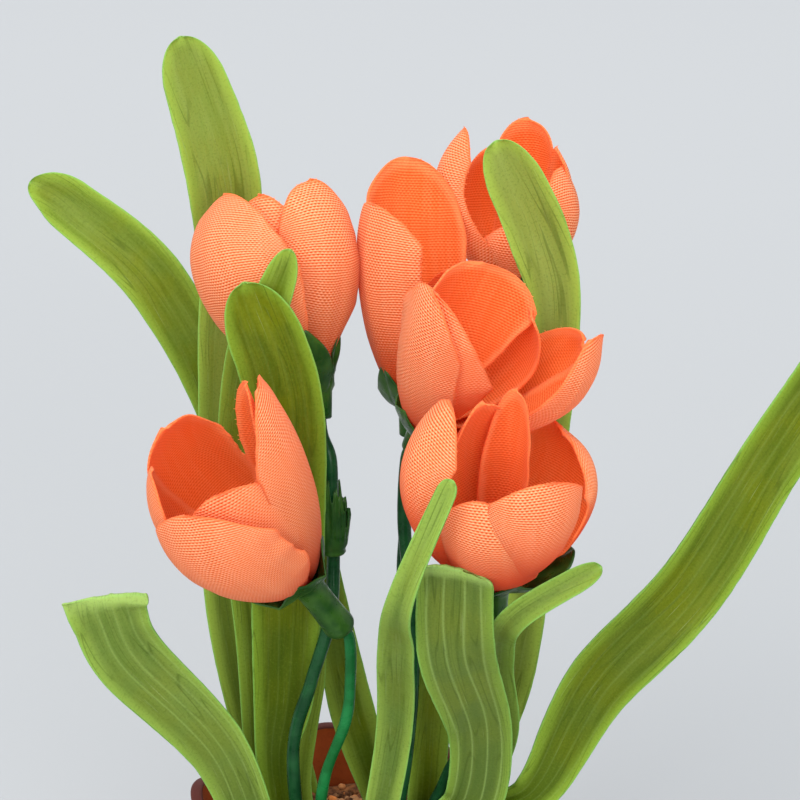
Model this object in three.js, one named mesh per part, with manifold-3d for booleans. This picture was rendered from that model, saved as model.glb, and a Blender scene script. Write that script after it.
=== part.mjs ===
// Potted tulip of fabric and plastic, with six blooms and thirteen strap leaves.
// Millimetres, +Z up. The origin is the middle of the pot's flat foot.
import * as THREE from 'three';
import { mergeVertices } from 'three/addons/utils/BufferGeometryUtils.js';
import Module from 'manifold-3d';

const wasm = await Module();
wasm.setup();

// Pot
const POT_HEIGHT = 48;
const RIM_RADIUS = 27.2;
const FOOT_RADIUS = 19;
const FOOT_BEVEL = 0.8;
const BAND_BOTTOM = 35;
const BAND_STEP = 0.8;
const POT_WALL = 2.0;
const POT_FLOOR = 3.5;
const LOBES = 10;
const LOBE_DROP = 2.4;
const LOBE_BULGE = 1.4;
const LOBE_PEAK = 101;
const SIDES_PER_LOBE = 4;

// Filling
const SOIL_LEVEL = 39;
const SOIL_DEPTH = 8;
const SOIL_BUMP = 0.45;
const FILLING_SIDES = 30;
const CLEARANCE = 0.3;
const SLIVER = 0.04;

// Stems and calyces
const WIRE_RADIUS = 1.1;
const STEM_SEGMENTS = 3;
const STEM_STEPS = 12;
const SLEEVE_RADIUS = 2.3;
const SLEEVE_LENGTH = 10;
const CALYX_WALL = 0.8;
const SEPALS = 5;
const SEPAL_TIP = 7.5;
const SEPAL_NOTCH = 3.2;
const MIN_CUP = 2.5;
const CUP_DROP = 0.35;
const CUP_STEPS = 2;
const CUP_REACH = 0.3;
const BORE_TOP = -1.2;
const NECK_BOTTOM = -2.6;
const NECK_TOP = -0.8;
const NECK_RADIUS = 3.1;
const SHEATH_FOOT = [-2.8, -4.4, 94.2];
const SHEATH_AXIS = [-0.02, 0.03, 1];
const SHEATH_SLEEVE = 1.6;
const SHEATH_WALL = 0.7;
const SHEATH_GAP = 0.4;
const SHEATH_STEP = 0.6;
const SHEATH_FLARE = 0.5;
const SHEATH_TEETH = [6.2, 4, 10, 7, 13, 9, 12, 15, 16.5, 9.5, 9.9, 3.4];

// Petals: stations along a petal, and places across it from edge to edge
const PETAL_THICKNESS = 0.7;
const PETAL_STATIONS = [0, 0.2, 0.42, 0.65, 0.86, 0.98];
const PETAL_ACROSS = [-1, -0.4, 0.4, 1];
const LAYER_STEP = 0.8;
const EDGE_LIFT = 0.45;
const MOST_WRAP = 1.15;
const WIDEST = 0.6;
const ROOT_RADIUS = 1.3;
const HALVINGS = 20;
const PLUG_SIDES = 10;
const PLUG = [[0, -0.5], [1.8, -0.4], [2.1, 0.8], [1.5, 3], [0, 4]];

// Leaves
const LEAF_THICKNESS = 0.9;
const LEAF_STEPS = 11;
const TIP_ANGLES = [26, 54, 78];
const RIB_HEIGHT = 0.3;

const RIM_COLOUR = 0x7a3a1c;
const SOIL_COLOUR = 0x5a3320;
const FOAM_COLOUR = 0x4d5a34;
const PETAL_COLOUR = 0xff8a50;
const CALYX_COLOUR = 0x1f4a24;
const LEAF_COLOUR = 0x6f8f2a;

const radians = THREE.MathUtils.degToRad;
const lerp = THREE.MathUtils.lerp;
const clamp = THREE.MathUtils.clamp;
const vector = (x, y, z) => new THREE.Vector3(x, y, z);

// Closed meshes ---------------------------------------------------------------------------------

function geometryFrom(points, faces) {
  const geometry = new THREE.BufferGeometry();
  const places = points.flatMap((p) => [p.x, p.y, p.z]);
  geometry.setAttribute('position', new THREE.Float32BufferAttribute(places, 3));
  const volume = faces.reduce((sum, [a, b, c]) => {
    const cross = points[b].clone().cross(points[c]);
    return sum + points[a].dot(cross);
  }, 0);
  const outward = volume > 0 ? faces : faces.map(([a, b, c]) => [a, c, b]);
  geometry.setIndex(outward.flat());
  return geometry;
}

// Rings of equal, even count joined in order. Each end is closed by a strip across its ring.
function skin(rings) {
  const count = rings[0].length;
  const faces = [];
  const at = (ring, i) => ring * count + (i % count);
  for (let ring = 0; ring < rings.length - 1; ring += 1) {
    for (let i = 0; i < count; i += 1) {
      faces.push([at(ring, i), at(ring, i + 1), at(ring + 1, i + 1)]);
      faces.push([at(ring, i), at(ring + 1, i + 1), at(ring + 1, i)]);
    }
  }
  const last = rings.length - 1;
  for (let i = 0; i < count / 2 - 1; i += 1) {
    const far = count - 1 - i;
    faces.push([at(0, i), at(0, far), at(0, far - 1)]);
    faces.push([at(0, i), at(0, far - 1), at(0, i + 1)]);
    faces.push([at(last, i), at(last, i + 1), at(last, far - 1)]);
    faces.push([at(last, i), at(last, far - 1), at(last, far)]);
  }
  return geometryFrom(rings.flat(), faces);
}

// Rows of points round an axis, joined in order. A row of one point is a pole.
function turned(rows, closed = false) {
  const starts = [];
  let total = 0;
  rows.forEach((row) => {
    starts.push(total);
    total += row.length;
  });
  const faces = [];
  const joins = closed ? rows.length : rows.length - 1;
  for (let j = 0; j < joins; j += 1) {
    const k = (j + 1) % rows.length;
    const sides = Math.max(rows[j].length, rows[k].length);
    const low = (i) => starts[j] + (i % rows[j].length);
    const high = (i) => starts[k] + (i % rows[k].length);
    for (let i = 0; i < sides; i += 1) {
      if (rows[j].length > 1) faces.push([low(i), low(i + 1), high(i)]);
      if (rows[k].length > 1) faces.push([low(i + 1), high(i + 1), high(i)]);
    }
  }
  return geometryFrom(rows.flat(), faces);
}

function ringAt(radius, z, sides, shape = (angle) => [radius, z], start = 0) {
  return Array.from({ length: sides }, (_, i) => {
    const angle = start + (2 * Math.PI * i) / sides;
    const [r, height] = shape(angle);
    return vector(r * Math.cos(angle), r * Math.sin(angle), height);
  });
}

function solidFrom(geometry) {
  const bare = new THREE.BufferGeometry();
  bare.setAttribute('position', geometry.getAttribute('position'));
  bare.setIndex(geometry.index);
  const merged = mergeVertices(bare, 1e-5);
  return new wasm.Manifold(new wasm.Mesh({
    numProp: 3,
    vertProperties: new Float32Array(merged.getAttribute('position').array),
    triVerts: new Uint32Array(merged.index.array),
  }));
}

function geometryOf(solid) {
  const mesh = solid.getMesh();
  const geometry = new THREE.BufferGeometry();
  geometry.setAttribute('position', new THREE.BufferAttribute(mesh.vertProperties, 3));
  geometry.setIndex(new THREE.BufferAttribute(mesh.triVerts, 1));
  return geometry;
}

const cut = (geometry, tools) => geometryOf(
  tools.reduce((solid, tool) => solid.subtract(solidFrom(tool)), solidFrom(geometry)),
);

// Fuses closed meshes into one body, and fills any hollow that they seal between them.
function join(geometries) {
  const whole = geometries.map(solidFrom).reduce((solid, other) => solid.add(other));
  const shells = whole.simplify(SLIVER).decompose().sort((a, b) => b.volume() - a.volume());
  return geometryOf(shells[0]);
}

function piece(name, geometry, color, roughness = 0.7) {
  const material = new THREE.MeshStandardMaterial({ color, roughness, metalness: 0 });
  const mesh = new THREE.Mesh(geometry, material);
  mesh.name = name;
  return mesh;
}

// Pot and filling -------------------------------------------------------------------------------

const innerFoot = FOOT_RADIUS - POT_WALL;
const innerRim = RIM_RADIUS - LOBE_BULGE - POT_WALL;

function innerRadius(z) {
  return lerp(innerFoot, innerRim, (z - POT_FLOOR) / (POT_HEIGHT - POT_FLOOR));
}

// The rim rises and bulges at the middle of each lobe, and fades out down the band.
function scalloped(radius, z) {
  const fade = clamp((z - BAND_BOTTOM) / (POT_HEIGHT - BAND_BOTTOM), 0, 1);
  return (angle) => {
    const lobe = Math.abs(Math.cos(((angle - radians(LOBE_PEAK)) * LOBES) / 2)) - 1;
    return [radius + LOBE_BULGE * lobe * fade, z + LOBE_DROP * lobe * fade];
  };
}

function potGeometry() {
  const sides = LOBES * SIDES_PER_LOBE;
  const outerAt = (z) => lerp(FOOT_RADIUS, RIM_RADIUS - BAND_STEP, z / POT_HEIGHT);
  const ring = (r, z) => ringAt(r, z, sides, scalloped(r, z), radians(LOBE_PEAK));
  const middle = (BAND_BOTTOM + POT_HEIGHT) / 2;
  return turned([
    [vector(0, 0, 0)],
    ring(FOOT_RADIUS - FOOT_BEVEL, 0),
    ring(outerAt(FOOT_BEVEL), FOOT_BEVEL),
    ring(outerAt(BAND_BOTTOM), BAND_BOTTOM),
    ring(outerAt(BAND_BOTTOM) + BAND_STEP, BAND_BOTTOM + BAND_STEP),
    ring(outerAt(middle) + BAND_STEP, middle),
    ring(RIM_RADIUS, POT_HEIGHT),
    ring(RIM_RADIUS - POT_WALL, POT_HEIGHT),
    ring(innerRadius(SOIL_LEVEL) + 0.2, SOIL_LEVEL),
    ring(innerFoot, POT_FLOOR),
    [vector(0, 0, POT_FLOOR)],
  ]);
}

function soilHeight(x, y) {
  const bumps = Math.sin(x * 0.55 + 1) * Math.cos(y * 0.6) + Math.sin(x * 0.3 - y * 0.4);
  return SOIL_LEVEL + SOIL_BUMP * bumps;
}

function soilGeometry() {
  const bottom = SOIL_LEVEL - SOIL_DEPTH;
  const edge = innerRadius(bottom) - CLEARANCE;
  const ring = (r, z) => ringAt(r, z, FILLING_SIDES);
  const bumpy = (share) => ringAt(edge * share, 0, FILLING_SIDES)
    .map((p) => vector(p.x, p.y, soilHeight(p.x, p.y)));
  return turned([
    [vector(0, 0, bottom)],
    ring(edge, bottom),
    bumpy(1),
    bumpy(0.66),
    bumpy(0.33),
    [vector(0, 0, soilHeight(0, 0))],
  ]);
}

function foamGeometry() {
  const bottom = POT_FLOOR + CLEARANCE;
  const top = SOIL_LEVEL - SOIL_DEPTH - CLEARANCE;
  return turned([
    [vector(0, 0, bottom)],
    ringAt(innerRadius(bottom) - CLEARANCE, bottom, FILLING_SIDES),
    ringAt(innerRadius(top) - CLEARANCE, top, FILLING_SIDES),
    [vector(0, 0, top)],
  ]);
}

// Petals and blooms -----------------------------------------------------------------------------

function bezier(a, b, c, d, t) {
  const back = 1 - t;
  return a * back ** 3 + 3 * b * t * back ** 2 + 3 * c * t * t * back + d * t ** 3;
}

// The middle line of a petal: distance from the bloom's axis and height over its root.
// roundness 0 gives a narrow, tapered base, and 1 a full, round one.
function middleLine({ roundness, belly, lip, length, inner = false }, t) {
  const second = [lerp(0.12, 0.62, roundness) * belly, lerp(0.28, 0.12, roundness) * length];
  const third = [
    lerp(1.78, 1.62, roundness) * belly - lerp(0.2, 0.25, roundness) * lip,
    lerp(0.48, 0.66, roundness) * length,
  ];
  const z = bezier(0, second[1], third[1], length, t);
  const waist = 1 - 0.3 * (1 - roundness) * Math.exp(-((z / 8) ** 2));
  const layer = inner ? -LAYER_STEP : LAYER_STEP;
  return [bezier(ROOT_RADIUS, second[0], third[0], lip, t) * waist + layer, z];
}

function halfWidth({ width, point = 2 }, t) {
  if (t < WIDEST) {
    return width * (0.14 + 0.86 * Math.sin(((t / WIDEST) * Math.PI) / 2) ** 1.25);
  }
  return width * Math.sqrt(1 - ((t - WIDEST) / (1 - WIDEST)) ** point);
}

// A spoon-shaped petal. Each station is an arc of the petal's own bend, bowed away from the axis.
function petalGeometry(petal) {
  const { turn, bend = 10, lean = 0 } = petal;
  const small = 1e-3;
  const heading = radians(turn);
  const along = vector(Math.cos(heading), Math.sin(heading), 0);
  const aside = vector(-Math.sin(heading), Math.cos(heading), 0);
  const up = vector(0, 0, 1);
  const rings = PETAL_STATIONS.map((t) => {
    const [r, z] = middleLine(petal, t);
    const [rNext, zNext] = middleLine(petal, t + small);
    const rise = vector(rNext - r, zNext - z, 0).normalize();
    const outward = along.clone().multiplyScalar(rise.y).addScaledVector(up, -rise.x);
    const middle = along.clone().multiplyScalar(r).addScaledVector(up, z);
    middle.addScaledVector(aside, lean * t * t);
    const arc = Math.min(bend, r + 0.2);
    const half = Math.min(halfWidth(petal, t) / arc, MOST_WRAP * clamp(2 * t + 0.7, 0, 1));
    const surface = (across, face) => {
      const angle = across * half;
      const lift = (face * PETAL_THICKNESS) / 2 + EDGE_LIFT * across * clamp(4 * t, 0, 1);
      const fall = arc * (1 - Math.cos(angle));
      const normal = outward.clone().multiplyScalar(Math.cos(angle)).addScaledVector(aside, Math.sin(angle));
      return middle.clone()
        .addScaledVector(aside, arc * Math.sin(angle))
        .addScaledVector(outward, -fall)
        .addScaledVector(normal, lift);
    };
    const outer = PETAL_ACROSS.map((across) => surface(across, 1));
    const inner = PETAL_ACROSS.map((across) => surface(across, -1));
    return [...outer, ...inner.reverse()];
  });
  return skin(rings);
}

function bloomGeometry(petals) {
  const plug = turned(PLUG.map(([r, z]) => (r === 0 ? [vector(0, 0, z)] : ringAt(r, z, PLUG_SIDES))));
  return join([plug, ...petals.map(petalGeometry)]);
}

// How far a petal's middle line is from the axis, at this height over the root.
function reachAt(petal, height) {
  let low = 0;
  let high = WIDEST;
  for (let i = 0; i < HALVINGS; i += 1) {
    const middle = (low + high) / 2;
    if (middleLine(petal, middle)[1] < height) low = middle;
    else high = middle;
  }
  return middleLine(petal, low)[0];
}

// A cup with pointed sepals that hug the petals' roots, on a sleeve bored for the wire.
function calyxGeometry(petals, head) {
  const { spin = 0, sepal = SEPAL_TIP, sleeve = SLEEVE_LENGTH, girth = SLEEVE_RADIUS } = head;
  const sides = SEPALS * 3;
  const bore = WIRE_RADIUS + CLEARANCE;
  const slack = PETAL_THICKNESS / 2 + EDGE_LIFT + CLEARANCE;
  const reach = (angle, height) => Math.max(
    ...petals
      .filter((petal) => Math.cos(angle - radians(petal.turn)) > CUP_REACH)
      .map((petal) => reachAt(petal, height)),
    MIN_CUP - slack,
  );
  const cup = (step, gap) => Array.from({ length: sides }, (_, i) => {
    const height = ((i % 3 === 0 ? sepal : SEPAL_NOTCH) * step) / CUP_STEPS;
    const angle = (2 * Math.PI * i) / sides;
    const radius = reach(angle + radians(spin), height) + slack + gap;
    const drop = gap > 0 ? CUP_DROP : 0;
    return vector(radius * Math.cos(angle), radius * Math.sin(angle), height - drop);
  });
  const steps = Array.from({ length: CUP_STEPS }, (_, i) => i + 1);
  return turned([
    ringAt(bore, BORE_TOP, sides),
    ringAt(bore, -sleeve, sides),
    ringAt(girth, -sleeve, sides),
    ringAt(girth, NECK_BOTTOM, sides),
    ringAt(NECK_RADIUS, NECK_TOP, sides),
    ...steps.map((step) => cup(step, CALYX_WALL)),
    ...steps.reverse().map((step) => cup(step, 0)),
    ringAt(MIN_CUP - 0.05, NECK_TOP, sides),
  ], true).rotateZ(radians(spin));
}

// Leaves and stems ------------------------------------------------------------------------------

const curveThrough = (points) => new THREE.CatmullRomCurve3(points, false, 'catmullrom', 0.5);

// A strap leaf. way holds [x, y, z, width] from the soil to the tip, and faces the directions
// that its upper side looks to, spread evenly from base to tip.
function leafGeometry(leaf, grow = 0) {
  const { way, faces, cup = 1, tip = 4, end = 0.3, across = 5, ribs = 0 } = leaf;
  const line = curveThrough(way.map(([x, y, z]) => vector(x, y, z)));
  const spread = curveThrough(way.map((row) => vector(row[3], 0, 0)));
  const facing = curveThrough(faces.map((face) => vector(...face)));
  line.arcLengthDivisions = 400;
  const length = line.getLength();
  const body = Array.from({ length: LEAF_STEPS }, (_, i) => ((length - tip) * i) / (LEAF_STEPS - 1));
  const round = TIP_ANGLES.map((angle) => length - tip + tip * Math.sin(radians(angle)));
  const broadest = Math.max(...way.map((row) => row[3]));
  const rings = [...body, ...round].map((distance) => {
    const share = distance / length;
    const t = line.getUtoTmapping(share);
    const centre = line.getPoint(t);
    const tangent = line.getTangent(t);
    const side = facing.getPoint(share).cross(tangent).normalize();
    const normal = tangent.clone().cross(side);
    const past = clamp((distance - length + tip) / tip, 0, 1);
    const full = spread.getPoint(t).x;
    const half = (full / 2) * (end + (1 - end) * Math.sqrt(1 - past * past)) + grow;
    const depth = (cup * full) / broadest;
    const surface = (i, face) => {
      const u = -1 + (2 * i) / (across - 1);
      const rib = ribs * (i % 2) * clamp(distance / length * 3, 0, 1);
      const lift = face * (LEAF_THICKNESS / 2 + rib / 2 + grow);
      return centre.clone()
        .addScaledVector(side, half * u)
        .addScaledVector(normal, depth * (u * u - 0.5) + lift);
    };
    const places = Array.from({ length: across }, (_, i) => i);
    return [...places.map((i) => surface(i, 1)), ...places.reverse().map((i) => surface(i, -1))];
  });
  return skin(rings);
}

function rodGeometry(points, radius, steps = STEM_STEPS) {
  const line = curveThrough(points.map((p) => vector(...p)));
  const outline = new THREE.Shape();
  outline.absarc(0, 0, radius, 0, 2 * Math.PI, false);
  const rod = new THREE.ExtrudeGeometry(outline, {
    extrudePath: line,
    steps,
    curveSegments: STEM_SEGMENTS,
    bevelEnabled: false,
  });
  rod.deleteAttribute('normal');
  rod.deleteAttribute('uv');
  return mergeVertices(rod, 1e-4);
}

// A loose ragged sheath pushed down one wire: a sleeve whose upper edge is cut in steep teeth.
function sheathGeometry() {
  const bore = WIRE_RADIUS + CLEARANCE;
  const sides = SHEATH_TEETH.length;
  const lift = (share, radius) => SHEATH_TEETH.map((tooth, i) => {
    const angle = (2 * Math.PI * i) / sides;
    const r = radius + SHEATH_FLARE * share;
    return vector(r * Math.cos(angle), r * Math.sin(angle), SHEATH_SLEEVE + tooth * share);
  });
  const shares = [0, 0.5, 1];
  return turned([
    ringAt(bore, 0, sides),
    ringAt(bore + SHEATH_WALL, 0, sides),
    ringAt(bore + SHEATH_WALL, SHEATH_SLEEVE - SHEATH_STEP, sides),
    ...shares.map((share) => lift(share, bore + SHEATH_GAP + SHEATH_WALL)),
    ...shares.reverse().map((share) => lift(share, bore + SHEATH_GAP)),
    ringAt(bore, SHEATH_SLEEVE - SHEATH_STEP, sides),
  ], true);
}

// Placing ---------------------------------------------------------------------------------------

// Turns a group so that its Z runs along axis and its X stays as near +X as it can.
function aim(group, axis) {
  const k = vector(...axis).normalize();
  const x = vector(1, 0, 0);
  x.addScaledVector(k, -x.dot(k)).normalize();
  const y = k.clone().cross(x);
  group.quaternion.setFromRotationMatrix(new THREE.Matrix4().makeBasis(x, y, k));
  return group;
}

// Each head stands on its wire: root is where the petals meet, axis is the way the bloom opens,
// and wire runs from the foam up to the sleeve. A petal's turn is its heading round the axis.
const heads = {
  upper_left: {
    root: [-5.4, 0.8, 120.6],
    axis: [-0.12, 0.4, 0.91],
    spin: -20,
    sepal: 9.5,
    roundness: 0,
    sleeve: 5,
    wire: [[-7, -7.5, 20], [-8, -8, 38], [-9.5, -8.4, 60], [-6.5, -8, 72.6], [-3.4, -6.6, 83.2]],
    petals: [
      {
        turn: 220, belly: 16.8, length: 32, width: 15, lip: 10.6,
        roundness: 1, bend: 14, point: 2.6, lean: -3.3,
      },
      { turn: 301, belly: 11, length: 32.5, width: 10, lip: 8, bend: 7.5, point: 2.3, lean: -2.2 },
      { turn: 62, belly: 8.6, length: 30, width: 9, lip: 6 },
      { turn: 257, belly: 9.8, length: 31.2, width: 7.9, lip: 9.1, lean: -3.6, inner: true },
      { turn: 12, belly: 7, length: 29, width: 8, lip: 6, inner: true },
      { turn: 160, belly: 12, length: 29, width: 10, lip: 8, inner: true },
    ],
  },
  lower_left: {
    root: [-7.5, -19, 96.5],
    axis: [-0.46, -0.34, 0.82],
    roundness: 1,
    radius: 0.95,
    sleeve: 13.5,
    girth: 2.6,
    wire: [[-4.5, -9, 20], [-5.5, -9.5, 40], [-4.5, -11.5, 56], [-0.8, -12.5, 68], [0, -13, 76]],
    petals: [
      { turn: 145, belly: 13.5, length: 34, width: 12, lip: 7, lean: -1.5 },
      { turn: 3, belly: 11.2, length: 38.3, width: 12.2, lip: 12.4, bend: 9.3, point: 1.7, lean: 0.9 },
      { turn: 250, belly: 14.5, length: 31, width: 15, lip: 11, bend: 12, point: 2.3, lean: 1 },
      { turn: 282, belly: 10.5, length: 30, width: 13, lip: 9.5, bend: 9.2, point: 1.7, inner: true },
      { turn: 32, belly: 7.9, length: 36.3, width: 6, lip: 12.4, bend: 5, lean: -0.2, inner: true },
      { turn: 197, belly: 14.2, length: 32.5, width: 9.1, lip: 9.1, lean: -1.5, inner: true },
    ],
  },
  upper_middle: {
    root: [10.3, 6.1, 115.4],
    axis: [0.1, 0.18, 0.97],
    sleeve: 5,
    roundness: 0.3,
    wire: [[5, -2, 20], [6, -2, 38], [8.5, -1, 55], [8.5, 0, 69], [8.5, 1, 88]],
    petals: [
      {
        turn: 213, belly: 10.4, length: 33.5, width: 12.5, lip: 11.5,
        roundness: 1, bend: 9, point: 2.3, lean: 0.4,
      },
      {
        turn: 115, belly: 7.7, length: 38.9, width: 11.1, lip: 11.2,
        bend: 10.5, point: 2.5, lean: -0.3,
      },
      { turn: 345, belly: 9.5, length: 20, width: 8.5, lip: 8 },
      { turn: 165, belly: 8, length: 23, width: 8, lip: 6, inner: true },
      { turn: 285, belly: 8.6, length: 18, width: 8, lip: 6, inner: true },
      { turn: 45, belly: 8, length: 22, width: 8, lip: 6, inner: true },
    ],
  },
  upper_right: {
    root: [27.2, 24.9, 125],
    axis: [0.03, 0.28, 0.96],
    roundness: 0.3,
    wire: [[9, 3, 20], [12, 3, 38], [14, 4, 56], [17, 7, 70], [21, 12, 89], [25.3, 17.5, 104]],
    petals: [
      {
        turn: 200, belly: 14, length: 29.8, width: 8.3, lip: 8.9,
        roundness: 0.4, bend: 5.2, point: 2.3, lean: -0.9,
      },
      { turn: 341, belly: 9.1, length: 23.9, width: 10.1, lip: 5.9, point: 2.1 },
      { turn: 81, belly: 10.5, length: 31.4, width: 9.9, lip: 5.9, bend: 5.1, point: 2.2, lean: -0.4 },
      { turn: 255, belly: 9, length: 14.8, width: 8, lip: 9, lean: 1.5, inner: true },
      { turn: 20, belly: 9.7, length: 27, width: 8, lip: 7, inner: true },
      { turn: 136, belly: 10.4, length: 26.5, width: 7.8, lip: 5.9, lean: 1.4, inner: true },
    ],
  },
  centre: {
    root: [11.9, -7, 117.1],
    sleeve: 5,
    sepal: 5.5,
    axis: [0.38, -0.3, 0.87],
    roundness: 0.8,
    wire: [[5, -7, 20], [6.5, -7.5, 40], [9.3, -7, 61], [10.2, -7, 80], [8.7, -5, 99]],
    petals: [
      {
        turn: 214, belly: 10.8, length: 30.8, width: 10.7, lip: 12.2,
        roundness: 1, bend: 7.9, point: 1.1, lean: -1.5,
      },
      {
        turn: 105, belly: 6.7, length: 25.3, width: 14.3, lip: 11.3,
        bend: 10.3, point: 2.4, lean: -3.1,
      },
      { turn: 335, belly: 17.5, length: 31.2, width: 9.7, lip: 15, bend: 10.6, point: 2.3, lean: 1 },
      {
        turn: 20, belly: 17.5, length: 23.1, width: 8, lip: 18.3,
        bend: 13.6, point: 2.3, lean: -2.5, inner: true,
      },
      {
        turn: 234, belly: 10.6, length: 30.4, width: 11.5, lip: 11.8,
        bend: 10.2, point: 1.3, lean: -5, inner: true,
      },
      {
        turn: 36, belly: 13.5, length: 22.5, width: 6, lip: 12,
        bend: 11.7, point: 1.8, lean: 0.5, inner: true,
      },
    ],
  },
  lower_right: {
    root: [23, -23.3, 98.6],
    sepal: 6,
    axis: [0.03, -0.28, 0.96],
    roundness: 1,
    wire: [[8, -8, 20], [10, -8.3, 40], [16, -11.5, 58], [21, -16, 71], [22.5, -18, 80]],
    petals: [
      { turn: 201, belly: 15.7, length: 32.9, width: 11.5, lip: 6.2, bend: 6.9, lean: -4.7 },
      { turn: 33, belly: 16.6, length: 20.6, width: 13.8, lip: 13.4, bend: 9.8, point: 2.4, lean: 4.2 },
      { turn: 258, belly: 12.8, length: 24, width: 10.6, lip: 10.3, bend: 9, point: 1.7, lean: -1.3 },
      {
        turn: 288, belly: 15.3, length: 29.1, width: 13, lip: 14.1,
        bend: 8.1, point: 2.5, lean: 1.4, inner: true,
      },
      {
        turn: 74, belly: 5.3, length: 33.3, width: 5, lip: 5.9,
        bend: 4.2, point: 1.1, lean: -0.4, inner: true,
      },
      {
        turn: 134, belly: 9.2, length: 31.6, width: 9.4, lip: 5.2,
        bend: 10, point: 1.3, lean: -0.3, inner: true,
      },
    ],
  },
};

const leaves = {
  back_tall: {
    way: [
      [-13.5, 11, 33, 5], [-15.4, 11.5, 43, 5], [-21.6, 13, 77.5, 6.1],
      [-21.8, 16, 118.5, 6.7], [-20.3, 18.8, 133.1, 9.2], [-20.8, 19.6, 150.8, 12],
      [-27.1, 20, 173.4, 9.2],
    ],
    faces: [[0, -1, 0.3], [0.1, -1, 0.3]],
    cup: 1.2,
    tip: 7.6,
    end: 0.08,
  },
  left_arch: {
    way: [
      [-7, 17, 33, 4.5], [-10, 17.5, 46, 5.2], [-18.3, 18.5, 76.2, 6.1],
      [-20.5, 19.5, 104.9, 7.7], [-31, 20, 130.4, 10.2], [-45.3, 22, 143.9, 8.9],
      [-52.2, 22, 148.3, 6.7],
    ],
    faces: [[-0.1, -1, 0.3], [-0.2, -1, 0.6]],
    tip: 6.9,
    end: 0.08,
  },
  left_front: {
    way: [
      [-8.9, -4, 32.1, 4.9], [-12.5, -4.5, 54.8, 6.1], [-11, -4, 70, 10.2],
      [-10, -8, 101.3, 12.1], [-10.4, -11, 124.7, 12.2], [-16.2, -12, 143.3, 11.2],
    ],
    faces: [[0.1, -1, 0.3], [0, -1, 0.3]],
    cup: 1.2,
    tip: 9.8,
    end: 0.08,
  },
  left_slim: {
    way: [
      [-13, 3, 32, 4.5], [-15, 2, 46, 5], [-16.5, 1, 76, 5], [-18.5, -3, 105.6, 5.5],
      [-16.5, -7, 128.7, 6], [-12, -9, 139.4, 6], [-9, -9.5, 147.9, 4],
    ],
    faces: [[-0.2, -1, 0.3], [0, -1, 0.3]],
    cup: 0.8,
    tip: 4.5,
    end: 0.2,
  },
  right_tall: {
    way: [
      [14.5, 5, 33, 5], [18, 5, 41.6, 5.4], [21.3, 5, 50, 5.6], [27.1, 5, 67.9, 6.5], [30.2, 5, 95.8, 6.8],
      [33, 7, 128.7, 7.9], [30.1, 7, 144.3, 9.8], [23.1, 7, 160.1, 8.5],
    ],
    faces: [[0.2, -1, 0.3], [-0.1, -1, 0.3]],
    cup: 1.2,
    tip: 7.9,
    end: 0.19,
  },
  right_long: {
    way: [
      [13, -5.5, 33.1, 5], [15.5, -7, 42, 5.1], [20, -9.5, 50.5, 5], [26.1, -12, 52.5, 5.4],
      [31.3, -13.5, 57.5, 7.8], [39.8, -11.5, 73.7, 11.3], [54.5, -9, 89.9, 12],
      [66.9, -8, 112, 10.9], [80.6, -8, 135.1, 10.7],
    ],
    faces: [[-0.8, -0.4, 0.5], [0.1, -1, 0.5], [0.3, -1, 0.4], [0.3, -1, 0.4], [0.3, -1, 0.4]],
    tip: 5.7,
    across: 7,
    ribs: RIB_HEIGHT,
    end: 0.3,
  },
  left_low: {
    way: [
      [-10.5, -11.5, 32.9, 5.6], [-13.6, -11.6, 41.1, 7], [-16, -12.2, 48.5, 8.2], [-21.8, -15, 64.8, 10],
      [-34.3, -19, 81.7, 11.7], [-37.7, -20.5, 90.1, 12.4], [-38.4, -20.5, 93.8, 14.6],
    ],
    faces: [[-0.2, -1, 0.4], [-0.2, -1, 0.6]],
    cup: 1.5,
    tip: 1.2,
    end: 0.9,
    across: 7,
    ribs: RIB_HEIGHT,
  },
  front_narrow: {
    way: [
      [1.4, -13.5, 33.7, 5.1], [6.8, -18, 66.4, 5.8], [7.5, -31, 89.2, 6],
      [8.2, -40.8, 103, 4.3], [15.7, -42.5, 123.2, 3.2],
    ],
    faces: [[0.1, -1, 0.3], [-0.4, -1, 0.2]],
    tip: 2.2,
    end: 0.3,
  },
  front_wide: {
    way: [
      [10.5, -11.5, 33, 5], [12.6, -12.1, 42, 6], [15.3, -13, 48.3, 8], [20, -14, 54.5, 9.6],
      [20.8, -20, 69.8, 10.3], [16.8, -32, 89.4, 12.1], [16.4, -38.4, 106.7, 11.6],
    ],
    faces: [[0, -1, 0.3], [0, -1, 0.4]],
    tip: 2.4,
    end: 0.7,
    across: 7,
    ribs: RIB_HEIGHT,
  },
  right_curled: {
    way: [
      [14.5, 0.5, 33, 4.5], [20, -4.5, 48.9, 5], [24.7, -13.5, 66.2, 4.8],
      [23.4, -23.5, 83.6, 5], [25.5, -35.4, 97, 5.2], [38.5, -37.5, 106.8, 4.8],
    ],
    faces: [[0, -1, 0.3], [0.1, -0.9, 0.6]],
    tip: 2,
    end: 0.6,
  },
  middle_back: {
    way: [[7.5, 9, 33, 4.5], [5, 9, 42, 6], [0, 7, 60, 7.5], [-3, 4.5, 78, 6], [-4.6, 3, 91.5, 4]],
    faces: [[0, -1, 0.3], [0.1, -1, 0.3]],
    cup: 0.8,
    tip: 3,
  },
  middle_short: {
    way: [[10.5, -1.5, 33, 5], [12.2, -2.8, 48.5, 6], [13.5, -5, 70, 6.5], [15, -6, 79.5, 5]],
    faces: [[0, -1, 0.3], [0, -1, 0.3]],
    cup: 0.8,
    tip: 3,
  },
  middle_thin: {
    way: [[-5, 2, 33, 4.5], [-8.5, 1, 48, 3.5], [-6, 0, 69, 3.5], [-5, 0, 79, 2]],
    faces: [[0.6, -1, 0.3], [0.8, -1, 0.3]],
    cup: 0.6,
    tip: 3,
  },
};

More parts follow.
